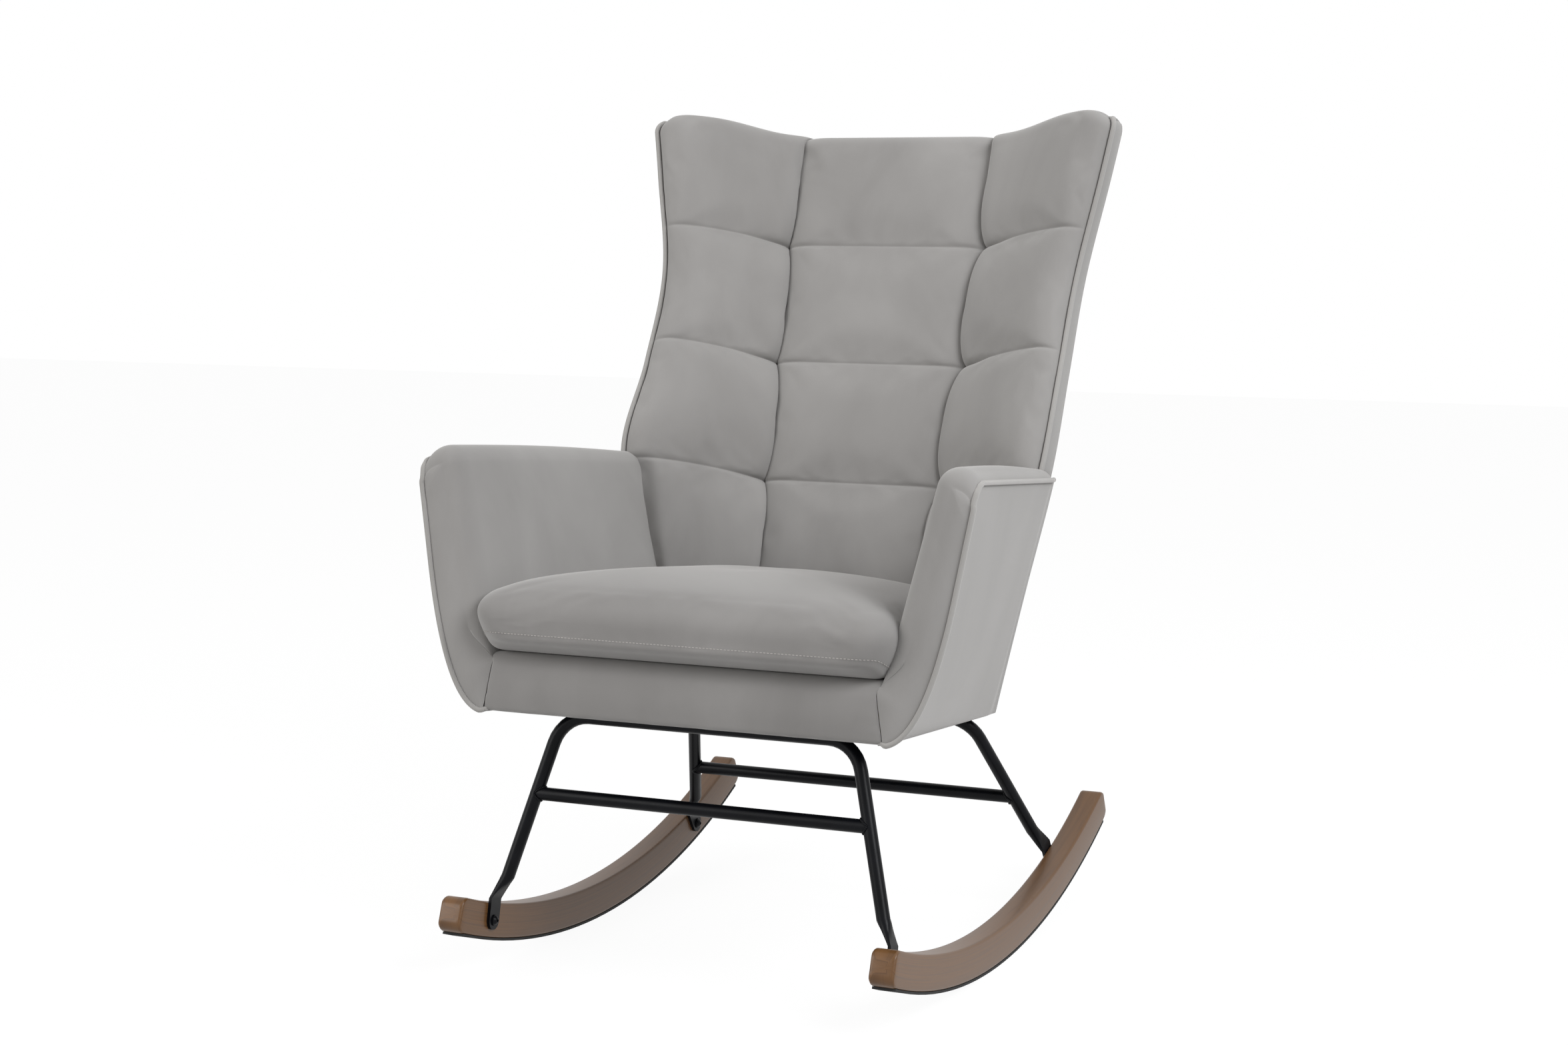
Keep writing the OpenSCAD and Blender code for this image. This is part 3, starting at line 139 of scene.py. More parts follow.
def at_rest(points):
    """Points in millimetres with the seat level, as metres in the resting chair."""
    p = np.asarray(points, float)
    turned = np.empty_like(p)
    turned[..., 0] = p[..., 0]
    turned[..., 1] = rest_y(p[..., 1], p[..., 2]) - CENTRE_Y
    turned[..., 2] = CENTRE_Z - p[..., 1] * math.sin(LEAN) + (p[..., 2] - CENTRE_Z) * math.cos(LEAN)
    return turned * MM


def normals_of(grid):
    """Unit normals of a grid of points, from row direction and column direction."""
    along, across = np.gradient(grid, axis=0), np.gradient(grid, axis=1)
    n = np.cross(across, along)
    return n / np.maximum(np.linalg.norm(n, axis=-1, keepdims=True), 1e-9)


def wobble(at, wavelength, seed):
    """Smooth even ripple of unit size with no clear period."""
    rng = np.random.default_rng(seed)
    phases = rng.uniform(0, 2 * np.pi, 4)
    at = np.asarray(at, float)
    stretches = (1, 1.37, 1.83, 0.74)
    return sum(np.sin(2 * np.pi * at / (wavelength * k) + p) for k, p in zip(stretches, phases)) / 4


def puckers(along, distance, size, seed, wavelength=17, reach=16):
    """Small gathers beside a seam: ripples along it that fade with the distance from it."""
    return size * wobble(along, wavelength, seed) * np.exp(-np.asarray(distance, float) / reach)


# ---------- meshes ----------
def new_object(name, mesh):
    piece = bpy.data.objects.new(name, mesh)
    bpy.context.scene.collection.objects.link(piece)
    return piece


def grid_faces(rows, cols, wrap=False):
    wide = cols if wrap else cols - 1
    return [(j * cols + i, j * cols + (i + 1) % cols, (j + 1) * cols + (i + 1) % cols, (j + 1) * cols + i)
            for j in range(rows - 1) for i in range(wide)]


def mesh_piece(name, points, faces, material):
    mesh = bpy.data.meshes.new(name)
    mesh.from_pydata([tuple(p) for p in np.asarray(points).reshape(-1, 3)], [], faces)
    mesh.polygons.foreach_set("use_smooth", [True] * len(mesh.polygons))
    mesh.materials.append(material)
    mesh.update()
    return new_object(name, mesh)


def sheet_piece(name, grid, material, flip=False):
    """Open sheet over a grid of level points; its faces point along the grid's normals."""
    rows, cols = grid.shape[:2]
    faces = grid_faces(rows, cols)
    if flip:
        faces = [f[::-1] for f in faces]
    return mesh_piece(name, at_rest(grid), faces, material)


def mirrored(grid):
    """The grid on the chair's other side, with its columns in the opposite order."""
    other = grid[:, ::-1].copy()
    other[..., 0] *= -1
    return other


def finish_mesh(piece, *modifiers):
    """Adds modifiers as (type, {setting: value}) and turns the result into the piece's plain mesh."""
    for kind, settings in modifiers:
        modifier = piece.modifiers.new(kind.lower(), kind)
        for key, value in settings.items():
            setattr(modifier, key, value)
    bake_modifiers(piece)
    return piece


def bake_modifiers(piece):
    graph = bpy.context.evaluated_depsgraph_get()
    mesh = bpy.data.meshes.new_from_object(
        piece.evaluated_get(graph), preserve_all_data_layers=True, depsgraph=graph)
    mesh.name = piece.name
    piece.modifiers.clear()
    piece.data = mesh


def cloth_shell(thickness):
    """Gives a sheet its thickness, into the padding."""
    return ("SOLIDIFY", {"thickness": thickness * MM, "offset": -1.0, "use_rim": True,
                         "use_even_offset": False})


COVER_T = 2.4
SMOOTHED = ("SUBSURF", {"levels": 1, "render_levels": 1})


def join(name, pieces):
    """One piece from several that share a material."""
    whole = bmesh.new()
    for piece in pieces:
        whole.from_mesh(piece.data)
    mesh = bpy.data.meshes.new(name)
    material = pieces[0].data.materials[0]
    whole.to_mesh(mesh)
    whole.free()
    mesh.materials.append(material)
    for piece in pieces:
        bpy.data.objects.remove(piece)
    return new_object(name, mesh)


def vertex_places(mesh):
    places = np.empty(len(mesh.vertices) * 3)
    mesh.vertices.foreach_get("co", places)
    return places.reshape(-1, 3)


def inflate(piece, free, pressure, frames, cap, shrink):
    """Blows a cloth up between its stitched lines and keeps every point within cap millimetres.

    free holds, for each vertex, 0 where the cloth is stitched down and 1 where it may move.
    """
    scene = bpy.context.scene
    group = piece.vertex_groups.new(name="stitched")
    for i, f in enumerate(free):
        if f < 1:
            group.add([i], 1 - float(f), "REPLACE")
    cloth = piece.modifiers.new("cloth", "CLOTH")
    wear = cloth.settings
    wear.quality = 6
    wear.mass = 0.3
    wear.tension_stiffness = wear.compression_stiffness = 18
    wear.shear_stiffness = 8
    wear.bending_stiffness = 0.8
    wear.vertex_group_mass = "stitched"
    wear.use_pressure = True
    wear.uniform_pressure_force = pressure
    wear.shrink_min = shrink
    wear.effector_weights.gravity = 0
    cloth.point_cache.frame_start = 1
    cloth.point_cache.frame_end = frames
    start = vertex_places(piece.data)
    for f in range(1, frames + 1):
        scene.frame_set(f)
    moved = vertex_places(piece.evaluated_get(bpy.context.evaluated_depsgraph_get()).to_mesh()) - start
    length = np.linalg.norm(moved, axis=1, keepdims=True)
    limit = cap * MM
    moved *= limit * np.tanh(length / limit) / np.maximum(length, 1e-9)
    piece.modifiers.remove(cloth)
    piece.data.vertices.foreach_set("co", (start + moved).ravel())
    piece.vertex_groups.remove(group)
    scene.frame_set(1)


# ---------- nodes ----------
def wired(tree, kind, inputs, **settings):
    """A new node with its settings, each input either linked from an output or set to a constant."""
    node = tree.nodes.new(kind)
    for key, value in settings.items():
        setattr(node, key, value)
    for key, value in inputs.items():
        if isinstance(value, bpy.types.NodeSocket):
            tree.links.new(value, node.inputs[key])
        else:
            node.inputs[key].default_value = value
    return node


def node_tree(name, sizes):
    """Empty tree with named sizes as inputs; returns it with the sockets of its start and its end."""
    tree = bpy.data.node_groups.new(name, "GeometryNodeTree")
    tree.interface.new_socket("Geometry", in_out="INPUT", socket_type="NodeSocketGeometry")
    for size in sizes:
        tree.interface.new_socket(size, in_out="INPUT", socket_type="NodeSocketFloat")
    tree.interface.new_socket("Geometry", in_out="OUTPUT", socket_type="NodeSocketGeometry")
    return tree, tree.nodes.new("NodeGroupInput").outputs, tree.nodes.new("NodeGroupOutput").inputs


def finish_tree(tree, geometry, end, material):
    """Ends a tree: instances made real, smooth shading and the material."""
    for kind, extra in (("RealizeInstances", {}), ("SetShadeSmooth", {}),
                        ("SetMaterial", {"Material": material})):
        geometry = wired(tree, "GeometryNode" + kind, {"Geometry": geometry, **extra}).outputs["Geometry"]
    tree.links.new(geometry, end["Geometry"])
    return tree


def cord_tree(name, material, sides):
    """A round cord that follows the curves it is given."""
    tree, start, end = node_tree(name, ["Cord radius", "Point spacing"])
    resample = wired(tree, "GeometryNodeResampleCurve",
                     {"Curve": start["Geometry"], "Length": start["Point spacing"]}, mode="LENGTH")
    circle = wired(tree, "GeometryNodeCurvePrimitiveCircle",
                   {"Resolution": sides, "Radius": start["Cord radius"]})
    sweep = wired(tree, "GeometryNodeCurveToMesh", {
        "Curve": resample.outputs["Curve"], "Profile Curve": circle.outputs["Curve"], "Fill Caps": True})
    return finish_tree(tree, sweep.outputs["Mesh"], end, material)


def beads_tree(name, material, flat, long):
    """Small rounded copies set one after another along the curves, such as stitches or a weld."""
    tree, start, end = node_tree(name, ["Bead radius", "Bead pitch"])
    points = wired(tree, "GeometryNodeCurveToPoints",
                   {"Curve": start["Geometry"], "Length": start["Bead pitch"]}, mode="LENGTH")
    ball = wired(tree, "GeometryNodeMeshUVSphere", {"Segments": 8, "Rings": 6, "Radius": start["Bead radius"]})
    shape = wired(tree, "GeometryNodeTransform",
                  {"Scale": (flat, flat, long), "Geometry": ball.outputs["Mesh"]})
    place = wired(tree, "GeometryNodeInstanceOnPoints", {
        "Points": points.outputs["Points"], "Rotation": points.outputs["Rotation"],
        "Instance": shape.outputs["Geometry"]})
    return finish_tree(tree, place.outputs["Instances"], end, material)


def along_curves(name, paths, tree, sizes, closed=False):
    """Runs a tree over curves through the level points of each path, and keeps the mesh it makes."""
    curve = bpy.data.curves.new(name, "CURVE")
    curve.dimensions = "3D"
    for path in paths:
        spline = curve.splines.new("POLY")
        spline.points.add(len(path) - 1)
        spline.use_cyclic_u = closed
        for point, place in zip(spline.points, at_rest(path)):
            point.co = (*place, 1)
    guide = new_object(name, curve)
    modifier = guide.modifiers.new("made", "NODES")
    modifier.node_group = tree
    for item in tree.interface.items_tree:
        if item.in_out == "INPUT" and item.name in sizes:
            modifier[item.identifier] = sizes[item.name] * MM
    evaluated = guide.evaluated_get(bpy.context.evaluated_depsgraph_get())
    mesh = bpy.data.meshes.new_from_object(evaluated)
    bpy.data.objects.remove(guide)
    mesh.name = name
    return new_object(name, mesh)


# ---------- materials ----------
def colour(hex_code):
    """Linear colour from a web colour."""
    parts = [int(hex_code[i:i + 2], 16) / 255 for i in (1, 3, 5)]
    return tuple(c / 12.92 if c <= 0.04045 else ((c + 0.055) / 1.055) ** 2.4 for c in parts) + (1.0,)


class Finish:
    """A surface finish: a Principled shader whose colour, roughness and bump come from small node chains."""

    def __init__(self, name, roughness=0.5, metallic=0.0):
        self.material = bpy.data.materials.new(name)
        self.material.use_nodes = True
        self.nodes = self.material.node_tree.nodes
        self.shader = self.nodes["Principled BSDF"]
        self.shader.inputs["Roughness"].default_value = roughness
        self.shader.inputs["Metallic"].default_value = metallic
        self.place = self.nodes.new("ShaderNodeTexCoord").outputs

    def node(self, kind, inputs, **settings):
        return wired(self.material.node_tree, "ShaderNode" + kind, inputs, **settings)

    def set(self, **constants):
        for name, value in constants.items():
            self.shader.inputs[name.replace("_", " ")].default_value = value
        return self

    def noise(self, scale, detail, stretch=(1, 1, 1), coordinates="Object", distortion=0.0):
        mapped = self.node("Mapping", {"Scale": stretch, "Vector": self.place[coordinates]})
        return self.node("TexNoise", {"Scale": scale, "Detail": detail, "Distortion": distortion,
                                      "Vector": mapped.outputs["Vector"]}).outputs["Fac"]

    def ramp(self, value, low, high, low_at=0.35, high_at=0.65):
        ramp = self.node("ValToRGB", {"Fac": value})
        for stop, position, shade in zip(ramp.color_ramp.elements, (low_at, high_at), (low, high)):
            stop.position, stop.color = position, shade
        return ramp.outputs["Color"]

    def blend(self, a, b, factor, kind="MIX"):
        """Mixes two colours; each may be a socket or a colour, and factor a socket or a number."""
        mixed = self.node("Mix", {"Factor": factor, "A": a, "B": b}, data_type="RGBA", blend_type=kind)
        return mixed.outputs["Result"]

    def scaled(self, value, low, high):
        """Maps a 0 to 1 value to a range."""
        return self.node("MapRange", {"To Min": low, "To Max": high, "Value": value}).outputs["Result"]

    def bump(self, *layers):
        """Stacks bumps of (height, strength, depth in millimetres)."""
        below = {}
        for height, strength, depth in layers:
            node = self.node("Bump", {"Strength": strength, "Distance": depth * MM, "Height": height, **below})
            below = {"Normal": node.outputs["Normal"]}
        self.feed("Normal", below["Normal"])

    def feed(self, name, socket):
        self.material.node_tree.links.new(socket, self.shader.inputs[name])

    def colour(self, socket):
        self.feed("Base Color", socket)

    def roughness(self, socket):
        self.feed("Roughness", socket)


def velvet(name, dark, light, painted_sheen):
    """Short-pile velvet: brushed patches of the nap, a fine fibre grain and a painted sheen, the colour paling
    where the cloth turns away from view.
    """
    finish = Finish(name, roughness=0.86).set(
        Sheen_Weight=0.35, Sheen_Roughness=0.45, Sheen_Tint=(1.0, 0.98, 0.96, 1.0), Specular_IOR_Level=0.2)
    patches = finish.ramp(finish.noise(7.0, 4.0, (1, 1, 0.55), distortion=0.6), dark, light, 0.3, 0.72)
    streaks = finish.scaled(finish.noise(60.0, 3.0, (1, 1, 0.22)), 0.0, 1.0)
    brushed = finish.blend(patches, light, finish.scaled(streaks, 0.0, 0.22))
    # Painted sheen: the colour turns paler where the cloth turns away from view, as velvet catches light at
    # grazing angles.
    facing = finish.node("LayerWeight", {"Blend": 0.28})
    edge = finish.scaled(facing.outputs["Facing"], 0.0, 0.7)
    finish.colour(finish.blend(brushed, painted_sheen, edge))
    fibres = finish.noise(1500.0, 2.0)
    nap = finish.noise(260.0, 3.0, (1, 1, 0.4))
    finish.bump((nap, 0.25, 0.35), (fibres, 0.35, 0.18))
    return finish.material


def powder_coat():
    """Black powder coat on steel tube, with its slight orange peel."""
    finish = Finish("black_powder_coat", roughness=0.34).set(Specular_IOR_Level=0.12)
    finish.colour(finish.ramp(finish.noise(40.0, 2.0), colour("#06070a"), colour("#0b0c10")))
    finish.roughness(finish.scaled(finish.noise(90.0, 3.0), 0.28, 0.42))
    finish.bump((finish.noise(900.0, 2.0), 0.25, 0.06), (finish.noise(160.0, 2.0), 0.1, 0.1))
    return finish.material


def stained_wood():
    """Walnut-stained hardwood under satin lacquer; its grain follows the rocker's curve."""
    finish = Finish("walnut_stain", roughness=0.38).set(
        Coat_Weight=0.12, Coat_Roughness=0.22, Specular_IOR_Level=0.32)
    rings = finish.noise(9.0, 5.0, (0.35, 9.0, 1.0), "UV", distortion=1.2)
    pores = finish.noise(60.0, 4.0, (0.25, 12.0, 1.0), "UV")
    base = finish.ramp(rings, colour("#54391f"), colour("#72502f"), 0.25, 0.8)
    dark_pores = finish.ramp(pores, (0, 0, 0, 1), (1, 1, 1, 1), 0.55, 0.75)
    finish.colour(finish.blend(base, colour("#2f1b12"), finish.scaled(dark_pores, 0.0, 0.35)))
    finish.roughness(finish.scaled(rings, 0.3, 0.46))
    finish.bump((pores, 0.25, 0.08))
    return finish.material


def raw_wood(name, dark, light, stretch):
    finish = Finish(name, roughness=0.7)
    finish.colour(finish.ramp(finish.noise(14.0, 5.0, stretch, distortion=0.8), colour(dark), colour(light)))
    finish.bump((finish.noise(120.0, 4.0, stretch), 0.3, 0.2))
    return finish.material


def zinc():
    finish = Finish("zinc_plate", roughness=0.34, metallic=1.0)
    finish.colour(finish.ramp(finish.noise(120.0, 3.0), colour("#9a9da0"), colour("#c3c6c8")))
    finish.bump((finish.noise(700.0, 2.0), 0.2, 0.04))
    return finish.material


def woven(name, dark, light, pitch):
    """Plain woven cloth from two crossed bands of threads."""
    finish = Finish(name, roughness=0.85).set(Sheen_Weight=0.15)
    bands = {"Scale": 1 / pitch, "Distortion": 0.4, "Vector": finish.place["Object"]}
    threads = [finish.node("TexWave", bands, bands_direction=way).outputs["Fac"] for way in ("X", "Y")]
    weave = finish.blend(threads[0], threads[1], 0.5, "MULTIPLY")
    finish.colour(finish.ramp(weave, dark, light, 0.1, 0.8))
    finish.bump((weave, 0.5, 0.3))
    return finish.material


def rubber():
    finish = Finish("black_rubber", roughness=0.8)
    finish.colour(finish.ramp(finish.noise(50.0, 3.0), colour("#0d0d0d"), colour("#1b1b1b")))
    finish.bump((finish.noise(500.0, 3.0), 0.4, 0.15))
    return finish.material


def open_foam():
    finish = Finish("open_foam", roughness=0.95)
    cells = finish.node("TexVoronoi", {"Scale": 700, "Vector": finish.place["Object"]})
    finish.colour(finish.ramp(cells.outputs["Distance"], colour("#d8cba0"), colour("#efe6c6"), 0.1, 0.6))
    finish.bump((cells.outputs["Distance"], 0.6, 0.5))
    return finish.material


# The third colour of each velvet is its painted sheen, the paler colour it takes at grazing angles.
VELVET = velvet("grey_velvet", colour("#858381"), colour("#969492"), colour("#a9a8a6"))
# Painted shade: a darker copy of the same velvet, for the seat cushion and the cover of the seat's front rail.
SHADED_SEAT_VELVET = velvet("grey_velvet_seat_painted_shade", colour("#7a7876"), colour("#8a8886"), colour("#9c9b9a"))
# Painted highlight: a lighter copy of the same velvet, with a paler sheen, for the piping cords.
LIT_WELT_VELVET = velvet("grey_velvet_welt_painted_highlight", colour("#908e8b"), colour("#9e9c99"), colour("#bab8b6"))
THREAD = woven("sewing_thread", colour("#a9a49f"), colour("#c2beba"), 0.0006)
STEEL = powder_coat()
WALNUT = stained_wood()
TIMBER = raw_wood("sawn_timber", "#a98a5e", "#cdb083", (1, 0.25, 1))
PLYWOOD = raw_wood("birch_plywood", "#b39a70", "#d3bd93", (1, 1, 0.2))
ZINC = zinc()
WEBBING = woven("black_webbing", colour("#0c0c0d"), colour("#1d1d20"), 0.0022)
DUST_CLOTH = woven("black_dust_cloth", colour("#08080a"), colour("#17171a"), 0.0011)
RUBBER = rubber()
FOAM = open_foam()

# ---------- the back's form ----------
TIP_Z = BACK_TOP + TIP_RISE
SEAMS = np.array([FIRST_SEAM + k * SEAM_PITCH for k in range(4)], float)
WING_EDGE = [
    (COVER_BOTTOM, SEAT_REAR_HALF - 4, 10),
    (450, 256, 75),
    (ARM_TOP, WING_LOW_HALF, FLARE_ARM),
    (725, WING_LOW_HALF - 1, mix(FLARE_ARM, FLARE_WAIST, 0.62)),
    (850, WING_LOW_HALF + 1, FLARE_WAIST),
    (mix(850, TIP_Z, 0.62), mix(WING_LOW_HALF, WING_TIP_HALF, 0.6), mix(FLARE_WAIST, FLARE_TIP, 0.5)),
    (TIP_Z + 10, WING_TIP_HALF, FLARE_TIP)]
TOP_LINE = [(share, BACK_TOP + rise * TIP_RISE) for share, rise in
            ((0, 0), (0.25, 0.25), (0.6, 0.85), (0.8, 1), (0.93, 0.95), (1, 0.8))]


def edge_x(z):
    """How far out the wing's front edge lies."""
    return hermite(WING_EDGE, z, 1)


def edge_flare(z):
    """How far the wing's front edge lies in front of the middle panel's seams."""
    return hermite(WING_EDGE, z, 2)


def valley_x(z):
    """Half the width of the middle panel, where it meets the wings."""
    return mix(CENTRE_LOW_HALF, CENTRE_TOP_HALF, (np.asarray(z, float) - ARM_TOP) / (BACK_TOP - ARM_TOP))


def wing_slope(z):
    return edge_flare(z) / (edge_x(z) - valley_x(z))


def top_z(share):
    return hermite(TOP_LINE, share, 1)


def wing_height(z, share):
    """Height on the wing of the row that is at height z beside the middle panel."""
    lift = SEAM_RISE * np.sin(np.pi / 2 * share) * np.clip(4 * (z - DECK) / (BACK_TOP - DECK), 0, 1)
    near_top = np.clip((z - SEAMS[3]) / (BACK_TOP - SEAMS[3]), 0, 1)
    return z + mix(lift, top_z(share) - BACK_TOP, near_top)


def rear_valley_x(z):
    """Where the outer back bends from its middle into its side."""
    return valley_x(z) + BACK_DEPTH * np.tan(np.arctan(wing_slope(z)) / 2)


def rear_plane_y(x, z):
    """Where the flat behind a wing lies."""
    return seam_y(z) + BACK_DEPTH - (x - rear_valley_x(z)) * wing_slope(z)


WING_INSET = 2.6


def wing_point(share, z):
    """Point on the left wing's seams, at a share of its width."""
    across = share * (edge_x(z) - WING_INSET - valley_x(z))
    return grid_of(valley_x(z) + across, seam_y(z) - across * wing_slope(z), z)


TOP_ROUND, TIP_R = 17, 14
# How far the quilt tucks in beside each tip, where and how widely; how far its sides turn in and
# its end hangs down behind; how softly the outer back bends; and how far the top widens over the tips.
TUCK, TUCK_FROM_TIP, TUCK_WIDTH = 4, 54, 7
EDGE_TURN, END_HEM, REAR_SOFT, TIP_WIDENS = 8, 12, 46, 4.5
CENTRE_COLUMNS, WING_COLUMNS, PILLOW_ROWS = 52, 40, 30
PROUD = PILLOW_H + 2
ROLL_OVER, ROLL_AT = 13, 12
CREASE, CREASE_WIDTH = 2.6, 2.4
# Widths over which the pillows round up from the valley, the piping and the cross seams.
MIDDLE_ROUND, MIDDLE_SEAM_ROUND = 46, 62
VALLEY_ROUND, EDGE_PIPING_ROUND, WING_SEAM_ROUND = 24, 30, 56


def quilt_rows():
    """Heights of the quilt's rows, gathered at its cross seams, up to where its top rounds over."""
    stops = [DECK + 1, *SEAMS, BACK_TOP - TOP_ROUND]
    heights = []
    for low, high in zip(stops, stops[1:]):
        n = max(10, round(PILLOW_ROWS * (high - low) / SEAM_PITCH))
        t = np.linspace(0, 1, n + 1) ** 1.4 if high == stops[-1] else spread(n, 0.85)
        heights += list(mix(low, high, t[:-1]))
    return np.array(heights + [stops[-1]])


def cross_seam_distance(z):
    return np.min(np.abs(np.asarray(z, float)[..., None] - SEAMS), axis=-1)


def crease(distance):
    """Depth of the narrow crease that a row of stitches pulls in."""
    return CREASE * np.exp(-(distance / CREASE_WIDTH) ** 2)


def middle_height(z, from_valley):
    """How far the middle pillows stand proud of the valleys: nearly flat, with shallow seams."""
    from_seam = cross_seam_distance(z)
    body = PROUD * shoulder(from_valley, MIDDLE_ROUND) * mix(0.86, 1, shoulder(from_seam, MIDDLE_SEAM_ROUND))
    return body - crease(from_seam) * shoulder(from_valley, 30)


def wing_pillow_height(z, from_valley, from_edge, pressed):
    """How far the wing pillows stand proud: full at valley and piping, pinched at the seams."""
    from_seam = cross_seam_distance(z)
    left_at_seam = mix(0.5, 0.84, ease(from_valley / 70))
    ends = shoulder(from_valley, VALLEY_ROUND) * shoulder(from_edge, EDGE_PIPING_ROUND)
    body = PROUD * ends * mix(left_at_seam, 1, shoulder(from_seam, WING_SEAM_ROUND)) * pressed
    return body - crease(from_seam) * ends * pressed


def wing_front():
    """Front of the left wing's pillows, which roll over the valley between the seams."""
    z = quilt_rows()[:, None]
    share = spread(WING_COLUMNS)[None, :]
    wing_z = wing_height(z, share)
    wing = wing_point(share, wing_z)
    length = np.abs(wing[..., 0] - valley_x(wing_z)) * np.sqrt(1 + wing_slope(wing_z) ** 2)
    pressed = 1 - 0.7 * ease((share - 0.8) / 0.15) * ease((ARM_TOP - wing_z) / 30)
    height = wing_pillow_height(z, length, length[:, -1:] - length, pressed)
    front = wing + normals_of(wing) * height[..., None]
    t = length / ROLL_AT
    front[..., 0] -= ROLL_OVER * t * np.exp(1 - t) * shoulder(cross_seam_distance(z), MIDDLE_SEAM_ROUND)
    return front


def middle_front():
    z = quilt_rows()[:, None]
    across = spread(CENTRE_COLUMNS)[None, :] * 2 - 1
    half = valley_x(z)
    middle = grid_of(across * half, seam_y(z), z)
    height = middle_height(z, (1 - np.abs(across)) * half)
    return middle + normals_of(middle) * height[..., None]


def over_tip(z):
    """Share of the rounding over the wing's tip that is passed at a height."""
    return np.clip((z - top_z(1.0)) / TOP_ROUND + 1, 0, 1)


def tip_in(z):
    """How far the wing's side falls inwards at a height as it rounds over the tip."""
    return fallen(TIP_R, over_tip(z))


def back_face_y(x, z):
    """Where the outer back's rear face lies."""
    bend = np.logaddexp(0, (x - rear_valley_x(z)) / REAR_SOFT * 2) * REAR_SOFT / 2
    return seam_y(z) + BACK_DEPTH - bend * wing_slope(z)


def over_the_top(last):
    """Rows that carry the quilt from its last front row over the top and down behind the outer back."""
    rows = [last + np.array([0, TOP_ROUND * (1 - math.cos(a)), TOP_ROUND * math.sin(a)])
            for a in np.radians([18, 36, 54, 72, 90])]
    side = np.sign(last[:, 0])
    from_tip = np.abs(last[:, 0]) - WING_TIP_HALF
    near_edge = ease((from_tip + 36) / 30)
    for row, depth in zip(rows, (0.5, 1, 0.6, 0, 0)):
        row[:, 0] -= side * near_edge * tip_in(row[:, 2] - last[:, 2] + top_z(1.0) - TOP_ROUND)
        row[:, 1] += TUCK * depth * np.exp(-((from_tip + TUCK_FROM_TIP) / TUCK_WIDTH) ** 2)
    top = rows[-1]
    rear_y = back_face_y(np.abs(top[:, 0]), top[:, 2]) - 5
    for t in (0.25, 0.5, 0.75, 1.0):
        row = top.copy()
        row[:, 0] += side * near_edge * TIP_WIDENS * ease(t * 2)
        row[:, 1] = mix(top[:, 1], np.maximum(rear_y, top[:, 1] + 2), t)
        row[:, 2] = top[:, 2] + 2.5 * np.sin(np.pi * t) - 3 * t
        rows.append(row)
    return np.array(rows + [rows[-1] + np.array([0, 1, -END_HEM])])


def quilt_grid():
    """The quilt's front and top as one grid, and the number of rows in its front."""
    wing = wing_front()
    front = np.concatenate([mirrored(wing)[:, :-1], middle_front(), wing[:, 1:]], axis=1)
    return np.concatenate([front, over_the_top(front[-1])]), len(front)


def build_quilt():
    grid, rows = quilt_grid()
    free = np.zeros(grid.shape[:2])
    free[1:rows, 1:-1] = 1
    free[:, [WING_COLUMNS, WING_COLUMNS + CENTRE_COLUMNS]] = 0
    free[:rows][cross_seam_distance(quilt_rows()) < 2] = 0
    free[rows:] = np.linspace(0.6, 0, len(grid) - rows)[:, None]
    free[:, [0, -1]] = 0
    turned = [grid[:, [i]] + np.array([-side * 1.5, EDGE_TURN, 0]) for side, i in ((-1, 0), (1, -1))]
    grid = np.concatenate([turned[0], grid, turned[1]], axis=1)
    free = np.pad(free, ((0, 0), (1, 1)))
    piece = sheet_piece("quilted_back", grid, VELVET)
    inflate(piece, free.ravel(), pressure=1.4, frames=12, cap=4, shrink=-0.004)
    return finish_mesh(piece, SMOOTHED, cloth_shell(COVER_T))


# ---------- the outer back ----------
SIDE_STEPS, CORNER_STEPS, REAR_STEPS, BACK_CORNER, LIP_R = 13, 8, 34, 16, 5


def edge_y(z):
    """Where the wing's front edge lies at a height: it falls back as it rounds over the tip."""
    return seam_y(z) - edge_flare(z) + fallen(TOP_ROUND, over_tip(z))


def outer_back_line(z):
    """Half of the outer back's outline at a height: from the piping back along the side and across."""
    x, y = edge_x(z) - tip_in(z), edge_y(z)
    rear = rear_plane_y(x, z)
    side = [(x - EDGE_TURN, y + 2)]
    side += [(x + 1.5 * math.sin(math.pi * t), mix(y, rear - BACK_CORNER, t))
             for t in np.linspace(0, 1, SIDE_STEPS - 1)]
    turn = math.pi / 2 + math.atan(wing_slope(z))
    corner = [(x - BACK_CORNER + BACK_CORNER * math.cos(a), rear - BACK_CORNER + BACK_CORNER * math.sin(a))
              for a in np.linspace(0, turn, CORNER_STEPS)[1:]]
    last_x, last_y = corner[-1]
    across = []
    for t in np.linspace(0, 1, REAR_STEPS)[1:]:
        x = mix(last_x, 0, t)
        joined = mix(last_y, back_face_y(x, z), ease(t * 6))
        across.append((x, joined + 2.2 * math.sin(math.pi * t)))
    return np.array(side + corner + across)


